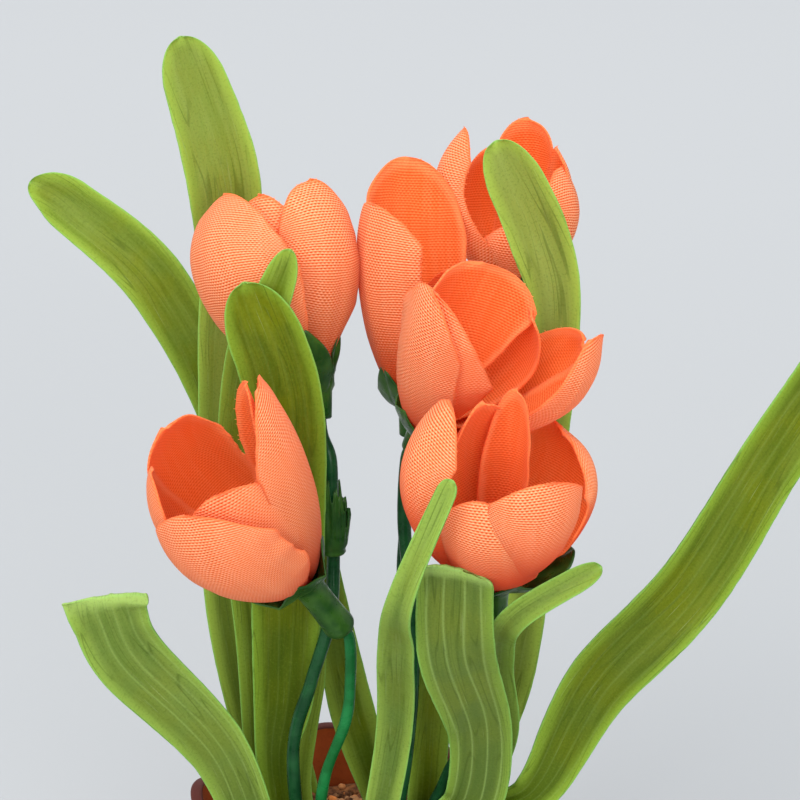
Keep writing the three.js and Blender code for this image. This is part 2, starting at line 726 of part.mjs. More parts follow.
const alongSheath = (distance) => vector(...SHEATH_FOOT)
  .addScaledVector(vector(...SHEATH_AXIS).normalize(), distance).toArray();

const tulip = new THREE.Group();
const holes = [];

for (const [name, leaf] of Object.entries(leaves)) {
  tulip.add(piece(`leaf_${name}`, leafGeometry(leaf), LEAF_COLOUR, 0.5));
  holes.push(leafGeometry({ ...leaf, across: 3 }, CLEARANCE));
}

for (const [name, head] of Object.entries(heads)) {
  const axis = vector(...head.axis).normalize();
  const below = (distance) => vector(...head.root).addScaledVector(axis, -distance).toArray();
  const { sleeve = SLEEVE_LENGTH } = head;
  const top = [sleeve + 2.5, sleeve - 1, sleeve / 2, 1.6].map(below);
  const sheathed = name === 'upper_left' ? [-2, 8, 16].map(alongSheath) : [];
  const route = [...head.wire, ...sheathed, ...top];
  const radius = head.radius ?? WIRE_RADIUS;
  tulip.add(piece(`stem_${name}`, rodGeometry(route, radius), CALYX_COLOUR, 0.5));
  holes.push(rodGeometry(route.slice(0, 4), radius + CLEARANCE));
  const group = aim(new THREE.Group(), head.axis);
  group.position.set(...head.root);
  const petals = head.petals.map((petal) => ({ roundness: head.roundness, ...petal }));
  group.add(piece(`bloom_${name}`, bloomGeometry(petals), PETAL_COLOUR, 0.9));
  group.add(piece(`calyx_${name}`, calyxGeometry(petals, head), CALYX_COLOUR, 0.5));
  tulip.add(group);
}

const sheath = aim(new THREE.Group(), SHEATH_AXIS);
sheath.position.set(...SHEATH_FOOT);
sheath.add(piece('stem_sheath', sheathGeometry(), CALYX_COLOUR, 0.5));
tulip.add(sheath);

tulip.add(piece('pot', potGeometry(), RIM_COLOUR, 0.8));
tulip.add(piece('soil', cut(soilGeometry(), holes), SOIL_COLOUR, 1));
tulip.add(piece('foam_plug', cut(foamGeometry(), holes), FOAM_COLOUR, 1));

export default tulip;
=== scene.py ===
import bpy
import numpy as np
from mathutils import Matrix, Vector


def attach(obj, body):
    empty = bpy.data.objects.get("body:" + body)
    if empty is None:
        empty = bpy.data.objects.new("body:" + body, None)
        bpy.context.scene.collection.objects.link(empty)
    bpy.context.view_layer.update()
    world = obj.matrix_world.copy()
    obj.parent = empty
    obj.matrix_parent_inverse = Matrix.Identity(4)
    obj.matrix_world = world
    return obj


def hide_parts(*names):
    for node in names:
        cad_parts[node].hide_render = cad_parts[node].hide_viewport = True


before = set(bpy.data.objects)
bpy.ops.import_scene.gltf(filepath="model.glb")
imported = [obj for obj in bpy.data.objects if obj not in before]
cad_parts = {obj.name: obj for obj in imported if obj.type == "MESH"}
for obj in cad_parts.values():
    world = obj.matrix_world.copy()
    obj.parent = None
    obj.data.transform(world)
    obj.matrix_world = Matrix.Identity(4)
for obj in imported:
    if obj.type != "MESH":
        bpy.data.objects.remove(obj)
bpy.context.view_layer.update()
MM = 0.001

# Camera: looks along +Y and down
TARGET = (8, 0, 119)
DISTANCE = 600
LOOK_DOWN = 22
FRAME_WIDTH = 128
SENSOR = 36

# Floor
FLOOR_RADIUS = 6
FLOOR_SIDES = 64

# Pot and filling
POT_HEIGHT = 48
RIM_RADIUS = 27.2
FOOT_RADIUS = 19
FOOT_BEVEL = 0.8
BAND_BOTTOM = 35
BAND_STEP = 0.8
BAND_HOLLOW = 0.35
POT_WALL = 2
POT_FLOOR = 3.5
LOBES = 10
LOBE_DROP = 2.4
LOBE_BULGE = 1.4
LOBE_PEAK = 101
POT_SIDES = 240
RIM_BEAD = 0.55
SOIL_LEVEL = 39
SOIL_DEPTH = 8
SOIL_BUMP = 0.45
SOIL_GRAIN = 0.1
SOIL_SIDES = 160
CRUMBS = 620

# Stems, calyces and sheath
WIRE_RADIUS = 1.1
WIRE_SIDES = 16
WIRE_STEP = 0.8
WIRE_THINNED = 0.03
WIRE_UNEVEN = 0.025
WIRE_END = 0.55
CLEARANCE = 0.3
SLEEVE_RADIUS = 2.3
SLEEVE_LENGTH = 10
SHORT_SLEEVE = 8
SEPAL_WALL = 0.55
CALYX_SIDES = 90
SEPALS = 5
SEPAL_TIP = 7.5
SEPAL_NOTCH = 2.8
MIN_CUP = 2.5
CUP_DROP = 0.35
CUP_REACH = 0.3
CUP_THINNED = 0.85
SHEATH_FOOT = [-2.8, -4.4, 94.2]
SHEATH_AXIS = [-0.02, 0.03, 1]
SHEATH_SLEEVE = 1.6
SHEATH_SIDES = 96
SHEATH_TEETH = [6.2, 4, 10, 7, 13, 9, 12, 15, 16.5, 9.5, 9.9, 3.4]

# Petals
FABRIC = 0.34
LAYER_STEP = 0.8
EDGE_LIFT = 0.45
MOST_WRAP = 1.15
WIDEST = 0.6
ROOT_RADIUS = 1.3
THREAD = 0.44
PLUG_SIDES = 24
# The last row of a petal or leaf stops this many degrees round its end, just short of a point
PETAL_END = 88.6
FOLDS = 6
FOLD_DEPTH = 0.24
EDGE_WAVE = 0.012
LIP_WAVE = 0.008
FIBRE_WIDTH = 0.055
FIBRE_SHARE = 0.5
# How much farther up a bloom's petals the painted shade at their root reaches, as a share of their length
ROOT_SHADE_REACH = {"lower_left": 0.05, "lower_right": 0.35, "upper_middle": 0.15, "centre": 0.08}
# Shift of the painted root shade on the inner faces, as a share of their length
INNER_SHADE_REACH = -0.12

# Leaves
LEAF_END = 88.5
LEAF_THICKNESS = 0.9
RIB_HEIGHT = 0.26
FAINT_RIB = 0.12
RIB_STRENGTH = {"left_low": 0.55, "front_wide": 1.0, "right_long": 0.2}
# Leaves whose end is at least this share of their width are torn off, with a thick lip
TORN_END = 0.7
LIP_WIDTH = 1.3
SLANTS = {"front_wide": 1.5}
# From dark, 0, to light, below 1. A whole 1 on top adds a greener, paler painted sheen
LEAF_TONES = {
    "back_tall": 0.75, "left_arch": 0.45, "left_front": 0.15, "left_slim": 0.5, "right_tall": 0.8,
    "right_long": 0.25, "left_low": 1.45, "front_narrow": 1.6, "front_wide": 1.22, "right_curled": 1.35,
    "middle_back": 0.6, "middle_short": 0.4, "middle_thin": 0.6,
}
RIB_LINES = {
    "plain": (-0.55, -0.18, 0.2, 0.5),
    "left_low": (-0.8, -0.5, -0.1, 0.3),
    "front_wide": (-0.65, -0.22, 0.28, 0.72),
    "right_long": (-0.7, -0.3, 0.1, 0.45),
}


def petal(turn, belly, length, width, lip, **more):
    """One petal: heading in degrees, the widest distance from the axis that it aims at, length, width, and
    where the lip ends. More may be bend, point, lean, roundness and inner."""
    return {"turn": turn, "belly": belly, "length": length, "width": width, "lip": lip, **more}


# 18 of these 36 petals are exactly as a least-squares program fitted them to outline points read off the
# photo, and 3 more mostly are. The others were chosen or changed.
HEADS = {
    "upper_left": {
        "root": [-5.4, 0.8, 120.6], "axis": [-0.12, 0.4, 0.91], "spin": -20, "sepal": 9.5,
        "roundness": 0, "sleeve": 5,
        "wire": [[-7, -7.5, 20], [-8, -8, 38], [-9.5, -8.4, 60], [-6.5, -8, 72.6], [-3.4, -6.6, 83.2]],
        "petals": [
            petal(220, 16.8, 32, 15, 10.6, roundness=1, bend=14, point=2.6, lean=-3.3),
            petal(301, 11, 32.5, 10, 8, bend=7.5, point=2.3, lean=-2.2),
            petal(62, 8.6, 30, 9, 6),
            petal(257, 9.8, 31.2, 7.9, 9.1, lean=-3.6, inner=True),
            petal(12, 7, 29, 8, 6, inner=True),
            petal(160, 12, 29, 10, 8, inner=True),
        ],
    },
    "lower_left": {
        "root": [-7.5, -19, 96.5], "axis": [-0.46, -0.34, 0.82], "roundness": 1, "radius": 0.95,
        "sleeve": 13.5, "girth": 2.6,
        "wire": [[-4.5, -9, 20], [-5.5, -9.5, 40], [-4.5, -11.5, 56], [-0.8, -12.5, 68], [0, -13, 76]],
        "petals": [
            petal(145, 13.5, 34, 12, 7, lean=-1.5),
            petal(3, 11.2, 38.3, 12.2, 12.4, bend=9.3, point=1.7, lean=0.9),
            petal(250, 14.5, 31, 15, 11, bend=12, point=2.3, lean=1),
            petal(282, 10.5, 30, 13, 9.5, bend=9.2, point=1.7, inner=True),
            petal(32, 7.9, 36.3, 6, 12.4, bend=5, lean=-0.2, inner=True),
            petal(197, 14.2, 32.5, 9.1, 9.1, lean=-1.5, inner=True),
        ],
    },
    "upper_middle": {
        "root": [10.3, 6.1, 115.4], "axis": [0.1, 0.18, 0.97], "sleeve": 5, "roundness": 0.3,
        "wire": [[5, -2, 20], [6, -2, 38], [8.5, -1, 55], [8.5, 0, 69], [8.5, 1, 88]],
        "petals": [
            petal(213, 10.4, 33.5, 12.5, 11.5, roundness=1, bend=9, point=2.3, lean=0.4),
            petal(115, 7.7, 38.9, 11.1, 11.2, bend=10.5, point=2.5, lean=-0.3),
            petal(345, 9.5, 20, 8.5, 8),
            petal(165, 8, 23, 8, 6, inner=True),
            petal(285, 8.6, 18, 8, 6, inner=True),
            petal(45, 8, 22, 8, 6, inner=True),
        ],
    },
    "upper_right": {
        "root": [27.2, 24.9, 125], "axis": [0.03, 0.28, 0.96], "roundness": 0.3,
        "wire": [[9, 3, 20], [12, 3, 38], [14, 4, 56], [17, 7, 70], [21, 12, 89], [25.3, 17.5, 104]],
        "petals": [
            petal(200, 14, 29.8, 8.3, 8.9, roundness=0.4, bend=5.2, point=2.3, lean=-0.9),
            petal(341, 9.1, 23.9, 10.1, 5.9, point=2.1),
            petal(81, 10.5, 31.4, 9.9, 5.9, bend=5.1, point=2.2, lean=-0.4),
            petal(255, 9, 14.8, 8, 9, lean=1.5, inner=True),
            petal(20, 9.7, 27, 8, 7, inner=True),
            petal(136, 10.4, 26.5, 7.8, 5.9, lean=1.4, inner=True),
        ],
    },
    "centre": {
        "root": [11.9, -7, 117.1], "sleeve": 5, "sepal": 5.5, "axis": [0.38, -0.3, 0.87],
        "roundness": 0.8,
        "wire": [[5, -7, 20], [6.5, -7.5, 40], [9.3, -7, 61], [10.2, -7, 80], [8.7, -5, 99]],
        "petals": [
            petal(214, 10.8, 30.8, 10.7, 12.2, roundness=1, bend=7.9, point=1.1, lean=-1.5),
            petal(105, 6.7, 25.3, 14.3, 11.3, bend=10.3, point=2.4, lean=-3.1),
            petal(335, 17.5, 31.2, 9.7, 15, bend=10.6, point=2.3, lean=1),
            petal(20, 17.5, 23.1, 8, 18.3, bend=13.6, point=2.3, lean=-2.5, inner=True),
            petal(234, 10.6, 30.4, 11.5, 11.8, bend=10.2, point=1.3, lean=-5, inner=True),
            petal(36, 13.5, 22.5, 6, 12, bend=11.7, point=1.8, lean=0.5, inner=True),
        ],
    },
    "lower_right": {
        "root": [23, -23.3, 98.6], "sepal": 6, "axis": [0.03, -0.28, 0.96], "roundness": 1,
        "wire": [[8, -8, 20], [10, -8.3, 40], [16, -11.5, 58], [21, -16, 71], [22.5, -18, 80]],
        "petals": [
            petal(201, 15.7, 32.9, 11.5, 6.2, bend=6.9, lean=-4.7),
            petal(33, 16.6, 20.6, 13.8, 13.4, bend=9.8, point=2.4, lean=4.2),
            petal(258, 12.8, 24, 10.6, 10.3, bend=9, point=1.7, lean=-1.3),
            petal(288, 15.3, 29.1, 13, 14.1, bend=8.1, point=2.5, lean=1.4, inner=True),
            petal(74, 5.3, 33.3, 5, 5.9, bend=4.2, point=1.1, lean=-0.4, inner=True),
            petal(134, 9.2, 31.6, 9.4, 5.2, bend=10, point=1.3, lean=-0.3, inner=True),
        ],
    },
}


def leaf(way, faces, **more):
    """One leaf: points of x, y, z and width, and the ways it faces from foot to tip. More may be cup, the
    depth of its hollow, tip, the length of its rounded end, end, the end's share of the width, and ribbed."""
    return {"way": way, "faces": faces, **more}


# 41 of these 82 points are exactly as a least-squares program fitted them to outline points read off the
# photo, and 4 more mostly are. The others were chosen or changed.
LEAVES = {
    "back_tall": leaf([
        [-13.5, 11, 33, 5], [-15.4, 11.5, 43, 5], [-21.6, 13, 77.5, 6.1], [-21.8, 16, 118.5, 6.7],
        [-20.3, 18.8, 133.1, 9.2], [-20.8, 19.6, 150.8, 12], [-27.1, 20, 173.4, 9.2],
    ], [[0, -1, 0.3], [0.1, -1, 0.3]], cup=1.2, tip=7.6, end=0.08),
    "left_arch": leaf([
        [-7, 17, 33, 4.5], [-10, 17.5, 46, 5.2], [-18.3, 18.5, 76.2, 6.1], [-20.5, 19.5, 104.9, 7.7],
        [-31, 20, 130.4, 10.2], [-45.3, 22, 143.9, 8.9], [-52.2, 22, 148.3, 6.7],
    ], [[-0.1, -1, 0.3], [-0.2, -1, 0.6]], tip=6.9, end=0.08),
    "left_front": leaf([
        [-8.9, -4, 32.1, 4.9], [-12.5, -4.5, 54.8, 6.1], [-11, -4, 70, 10.2], [-10, -8, 101.3, 12.1],
        [-10.4, -11, 124.7, 12.2], [-16.2, -12, 143.3, 11.2],
    ], [[0.1, -1, 0.3], [0, -1, 0.3]], cup=1.2, tip=9.8, end=0.08),
    "left_slim": leaf([
        [-13, 3, 32, 4.5], [-15, 2, 46, 5], [-16.5, 1, 76, 5], [-18.5, -3, 105.6, 5.5],
        [-16.5, -7, 128.7, 6], [-12, -9, 139.4, 6], [-9, -9.5, 147.9, 4],
    ], [[-0.2, -1, 0.3], [0, -1, 0.3]], cup=0.8, tip=4.5, end=0.2),
    "right_tall": leaf([
        [14.5, 5, 33, 5], [18, 5, 41.6, 5.4], [21.3, 5, 50, 5.6], [27.1, 5, 67.9, 6.5],
        [30.2, 5, 95.8, 6.8], [33, 7, 128.7, 7.9], [30.1, 7, 144.3, 9.8], [23.1, 7, 160.1, 8.5],
    ], [[0.2, -1, 0.3], [-0.1, -1, 0.3]], cup=1.2, tip=7.9, end=0.19),
    "right_long": leaf([
        [13, -5.5, 33.1, 5], [15.5, -7, 42, 5.1], [20, -9.5, 50.5, 5], [26.1, -12, 52.5, 5.4],
        [31.3, -13.5, 57.5, 7.8], [39.8, -11.5, 73.7, 11.3], [54.5, -9, 89.9, 12], [66.9, -8, 112, 10.9],
        [80.6, -8, 135.1, 10.7],
    ], [[-0.8, -0.4, 0.5], [0.1, -1, 0.5], [0.3, -1, 0.4], [0.3, -1, 0.4], [0.3, -1, 0.4]],
        tip=5.7, ribbed=True, end=0.3),
    "left_low": leaf([
        [-10.5, -11.5, 32.9, 5.6], [-13.6, -11.6, 41.1, 7], [-16, -12.2, 48.5, 8.2],
        [-21.8, -15, 64.8, 10], [-34.3, -19, 81.7, 11.7], [-37.7, -20.5, 90.1, 12.4],
        [-38.4, -20.5, 93.8, 14.6],
    ], [[-0.2, -1, 0.4], [-0.2, -1, 0.6]], cup=1.5, tip=1.2, end=0.9, ribbed=True),
    "front_narrow": leaf([
        [1.4, -13.5, 33.7, 5.1], [6.8, -18, 66.4, 5.8], [7.5, -31, 89.2, 6], [8.2, -40.8, 103, 4.3],
        [15.7, -42.5, 123.2, 3.2],
    ], [[0.1, -1, 0.3], [-0.4, -1, 0.2]], tip=2.2, end=0.3),
    "front_wide": leaf([
        [10.5, -11.5, 33, 5], [12.6, -12.1, 42, 6], [15.3, -13, 48.3, 8], [20, -14, 54.5, 9.6],
        [20.8, -20, 69.8, 10.3], [16.8, -32, 89.4, 12.1], [16.4, -38.4, 106.7, 11.6],
    ], [[0, -1, 0.3], [0, -1, 0.4]], tip=2.4, end=0.7, ribbed=True),
    "right_curled": leaf([
        [14.5, 0.5, 33, 4.5], [20, -4.5, 48.9, 5], [24.7, -13.5, 66.2, 4.8], [23.4, -23.5, 83.6, 5],
        [25.5, -35.4, 97, 4.4], [38.5, -37.5, 106.8, 3.9],
    ], [[0, -1, 0.3], [0.1, -0.9, 0.6]], tip=5, end=0.3),
    "middle_back": leaf([
        [7.5, 9, 33, 4.5], [5, 9, 42, 6], [0, 7, 60, 7.5], [-3, 4.5, 78, 6], [-4.6, 3, 91.5, 4],
    ], [[0, -1, 0.3], [0.1, -1, 0.3]], cup=0.8, tip=3),
    "middle_short": leaf([
        [10.5, -1.5, 33, 5], [12.2, -2.8, 48.5, 6], [13.5, -5, 70, 6.5], [15, -6, 79.5, 5],
    ], [[0, -1, 0.3], [0, -1, 0.3]], cup=0.8, tip=3),
    "middle_thin": leaf([
        [-5, 2, 33, 4.5], [-8.5, 1, 48, 3.5], [-6, 0, 69, 3.5], [-5, 0, 79, 2],
    ], [[0.6, -1, 0.3], [0.8, -1, 0.3]], cup=0.6, tip=3),
}


# Shapes ------------------------------


def bezier(a, b, c, d, t):
    return a * (1 - t) ** 3 + 3 * b * t * (1 - t) ** 2 + 3 * c * t * t * (1 - t) + d * t**3


def mix(a, b, share):
    return a + (b - a) * share


def unit(v):
    return v / np.linalg.norm(v, axis=-1, keepdims=True)


def turns(sides):
    return 2 * np.pi * np.arange(sides) / sides


def waves(rng, x, length, count=4):
    """A smooth random curve along x, whose main wave has this length; about -1 to 1."""
    total = 0
    for _ in range(count):
        total = total + np.sin(2 * np.pi * x / (length * rng.uniform(0.5, 1.6)) + rng.uniform(0, 6.28))
    return total / count**0.5


def catmull(points, t):
    """three.js's CatmullRomCurve3 of type catmullrom at the shares t, for points in rows."""
    points = np.asarray(points, float)
    spans = len(points) - 1
    whole = np.minimum((t * spans).astype(int), spans - 1)
    w = (t * spans - whole)[:, None]
    padded = np.vstack([2 * points[0] - points[1], points, 2 * points[-1] - points[-2]])
    p0, p1, p2, p3 = (padded[whole + i] for i in range(4))
    t0, t1 = (p2 - p0) / 2, (p3 - p1) / 2
    return p1 + t0 * w + (3 * (p2 - p1) - 2 * t0 - t1) * w**2 + (2 * (p1 - p2) + t0 + t1) * w**3


class Way:
    """A curve by its length."""

    def __init__(self, points):
        self.points = points
        self.t = np.linspace(0, 1, 401)
        places = catmull(points, self.t)
        steps = np.linalg.norm(np.diff(places, axis=0), axis=1)
        self.reach = np.concatenate([[0], np.cumsum(steps)])
        self.length = self.reach[-1]

    def share(self, distance):
        return np.interp(distance, self.reach, self.t)

    def at(self, distance):
        return catmull(self.points, self.share(distance))

    def tangent(self, distance):
        t = self.share(distance)
        low, high = np.clip(t - 1e-4, 0, 1), np.clip(t + 1e-4, 0, 1)
        return unit(catmull(self.points, high) - catmull(self.points, low))


class Piece:
    """Gathers parts of one piece: points, faces and the maps that the material reads."""

    def __init__(self):
        self.points, self.faces, self.maps = [], [], {}
        self.count = 0

    def add(self, points, faces, **maps):
        points = np.asarray(points, float).reshape(-1, 3)
        faces = np.asarray(faces)
        self.points.append(points)
        self.faces.extend((faces + self.count).tolist())
        for name, (u, v) in maps.items():
            uv = np.empty((len(points), 2))
            uv[:, 0], uv[:, 1] = np.ravel(u), np.ravel(v)
            self.maps.setdefault(name, []).append(uv)
        self.count += len(points)

    def finish(self, name, material, node, place=None):
        """Makes the object in place of a CAD node. Place is a basis and an origin, in millimetres."""
        points = np.vstack(self.points)
        if place is not None:
            points = points @ place[0].T + place[1]
        mesh = bpy.data.meshes.new(name)
        mesh.from_pydata((points * MM).tolist(), [], self.faces)
        mesh.materials.append(material)
        mesh.shade_smooth()
        corners = np.empty(len(mesh.loops), int)
        mesh.loops.foreach_get("vertex_index", corners)
        for layer, uvs in self.maps.items():
            mesh.uv_layers.new(name=layer).data.foreach_set("uv", np.vstack(uvs)[corners].ravel())
        mesh.validate()
        made = bpy.data.objects.new(name, mesh)
        bpy.context.scene.collection.objects.link(made)
        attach(made, "root")
        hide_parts(node)


def grid_faces(rows, columns, around=False):
    """Quads over a grid of points; around also joins its last column to its first."""
    joins = columns if around else columns - 1
    i, j = np.meshgrid(np.arange(rows - 1), np.arange(joins), indexing="ij")
    k = (j + 1) % columns
    quads = [i * columns + j, i * columns + k, (i + 1) * columns + k, (i + 1) * columns + j]
    return np.stack(quads, axis=-1).reshape(-1, 4)


def shell_faces(rows, columns):
    """Faces of a thin sheet: a grid, its twin further on in the list, and the strips round the edge."""
    front = grid_faces(rows, columns)
    back = front[:, ::-1] + rows * columns
    across = np.arange(columns)
    along = np.arange(rows)
    loop = np.concatenate([across, along[1:] * columns + columns - 1,
                           (rows - 1) * columns + across[-2::-1], along[-2:0:-1] * columns])
    after = np.roll(loop, -1)
    rim = np.stack([loop, loop + rows * columns, after + rows * columns, after], axis=-1)
    return np.vstack([front, back, rim])


def doubled(values, grid):
    """Values spread over a grid, for its front and its back."""
    return np.concatenate([np.ravel(values + 0 * grid)] * 2)


def frame_of(axis):
    """The basis whose Z is the axis and whose X stays as near +X as it can, as columns."""
    k = unit(np.array(axis, float))
    x = unit(np.array([1.0, 0, 0]) - k * k[0])
    return np.stack([x, np.cross(k, x), k], axis=1)


# Materials ------------------------------


class Look:
    """A node material on a Principled shader."""

    def __init__(self, name, roughness=0.5, **constants):
        self.material = bpy.data.materials.new(name)
        self.material.use_nodes = True
        self.nodes = self.material.node_tree.nodes
        self.links = self.material.node_tree.links
        self.shader = self.nodes["Principled BSDF"]
        self.shader.inputs["Roughness"].default_value = roughness
        for socket, value in constants.items():
            self.shader.inputs[socket.replace("_", " ")].default_value = value

    def node(self, kind, inputs=(), **settings):
        made = self.nodes.new("ShaderNode" + kind)
        for key, value in settings.items():
            setattr(made, key, value)
        for key, value in dict(inputs).items():
            self.set(made.inputs[key], value)
        return made

    def set(self, socket, value):
        if isinstance(value, bpy.types.NodeSocket):
            self.links.new(value, socket)
        else:
            socket.default_value = value

    def uv(self, name):
        split = self.node("SeparateXYZ", {0: self.node("UVMap", uv_map=name).outputs[0]})
        return split.outputs[0], split.outputs[1]

    def place(self):
        return self.node("TexCoord").outputs["Object"]

    def math(self, operation, a, b=0.0, c=0.0):
        return self.node("Math", {0: a, 1: b, 2: c}, operation=operation).outputs[0]

    def times(self, a, b):
        return self.math("MULTIPLY", a, b)

    def sine(self, value, wavelength, low=0.0, high=1.0):
        wave = self.math("SINE", self.times(value, 2 * np.pi / wavelength))
        return self.math("MULTIPLY_ADD", wave, (high - low) / 2, (high + low) / 2)

    def fit(self, value, from_low, from_high, to_low=0.0, to_high=1.0):
        inputs = {1: from_low, 2: from_high, 3: to_low, 4: to_high, 0: value}
        return self.node("MapRange", inputs, interpolation_type="SMOOTHSTEP").outputs[0]

    def vector(self, x, y=0.0, z=0.0):
        return self.node("CombineXYZ", {0: x, 1: y, 2: z}).outputs[0]

    def noise(self, at, scale, detail=2.0, roughness=0.5):
        inputs = {"Vector": at, "Scale": scale, "Detail": detail, "Roughness": roughness}
        return self.node("TexNoise", inputs).outputs["Fac"]

    def blend(self, share, a, b):
        made = self.node("Mix", data_type="RGBA")
        for socket, value in zip((0, 6, 7), (share, a, b)):
            self.set(made.inputs[socket], (*value, 1) if isinstance(value, tuple) else value)
        return made.outputs[2]

    def bump(self, height, distance, strength=1.0):
        """A bump this many millimetres high, on top of those before it."""
        made = self.node("Bump", {"Height": height, "Distance": distance * MM, "Strength": strength})
        if self.shader.inputs["Normal"].is_linked:
            self.links.new(self.shader.inputs["Normal"].links[0].from_socket, made.inputs["Normal"])
        self.links.new(made.outputs[0], self.shader.inputs["Normal"])

    def colour(self, value):
        self.set(self.shader.inputs["Base Color"], value)

    def rough(self, value):
        self.set(self.shader.inputs["Roughness"], value)


def petal_material():
    look = Look("woven_petal", roughness=0.75, Sheen_Weight=0.11, Sheen_Roughness=0.45,
                Sheen_Tint=(1.0, 0.8, 0.65, 1), Specular_IOR_Level=0.06)
    u, v = look.uv("weave")
    rim, height = look.uv("rim")
    inside, chance = look.uv("side")
    cloth = look.vector(u, v, chance)
    v = look.math("MULTIPLY_ADD", look.noise(cloth, 0.13, 1.0), 1.1, v)
    u = look.math("MULTIPLY_ADD", look.noise(cloth, 0.17, 1.0), 0.9, u)
    rib = look.sine(v, THREAD)
    # Every other row is shifted, as in a plain weave
    half_row = look.times(look.sine(v, THREAD * 2, -1, 1), look.sine(u, THREAD * 1.5, -1, 1))
    dotted = look.fit(look.noise(cloth, 0.11, 2.0), 0.36, 0.62, 0.3, 1.0)
    thread = look.math("MULTIPLY_ADD", look.times(half_row, dotted), 0.5, rib)
    gap = look.fit(thread, 0.5, 0.02)
    stretched = look.vector(look.times(u, 1.4), look.times(v, 0.1), chance)
    streak = look.noise(stretched, 1.0, 3.0)
    fuzz = look.noise(cloth, 4.0, 2.0)
    outer = look.blend(look.fit(streak, 0.3, 0.72), (0.92, 0.42, 0.168), (0.94, 0.5, 0.228))
    outer = look.blend(look.fit(fuzz, 0.35, 0.8, 0.0, 0.3), outer, (0.88, 0.25, 0.085))
    # Thread crests are paler: the weave's pattern, with a painted highlight of the threads' sheen
    outer = look.blend(look.fit(thread, 0.75, 1.15, 0.0, 0.7), outer, (1.0, 0.66, 0.4))
    outer = look.blend(gap, outer, (0.62, 0.07, 0.008))
    # Painted shade and bounced light: the inner faces are the same cloth, painted deeper and redder than the
    # outer ones
    inner = look.blend(look.fit(streak, 0.3, 0.75), (0.91, 0.205, 0.047), (0.94, 0.265, 0.078))
    # Inner thread crests are paler too: the weave's pattern, with a painted highlight
    inner = look.blend(look.fit(thread, 0.75, 1.15, 0.0, 0.45), inner, (1.0, 0.4, 0.14))
    inner = look.blend(look.times(gap, 0.85), inner, (0.62, 0.07, 0.008))
    hem = look.times(look.fit(rim, 0.5, 1.7, 0.55, 0.0), look.fit(fuzz, 0.3, 0.6, 0.6, 1.0))
    inner = look.blend(hem, inner, (1.0, 0.43, 0.17))
    base = look.blend(inside, outer, inner)
    # Painted shade: the petals darken towards their roots, deep in the cup and under the bloom
    root = look.fit(height, 0.03, 0.46, 0.95, 0.0)
    base = look.blend(root, base, (0.68, 0.062, 0.004))
    edge = look.fit(look.math("MULTIPLY_ADD", fuzz, -0.35, rim), -0.1, 0.28, 0.75, 0.0)
    base = look.blend(edge, base, (0.93, 0.24, 0.075))
    look.colour(base)
    look.bump(thread, 0.09, 0.8)
    look.bump(streak, 0.08, 0.25)
    through = look.node("BsdfTranslucent", {"Color": (1.0, 0.29, 0.075, 1)})
    both = look.node("MixShader", {0: 0.46, 1: look.shader.outputs[0], 2: through.outputs[0]})
    look.links.new(both.outputs[0], look.nodes["Material Output"].inputs["Surface"])
    return look.material


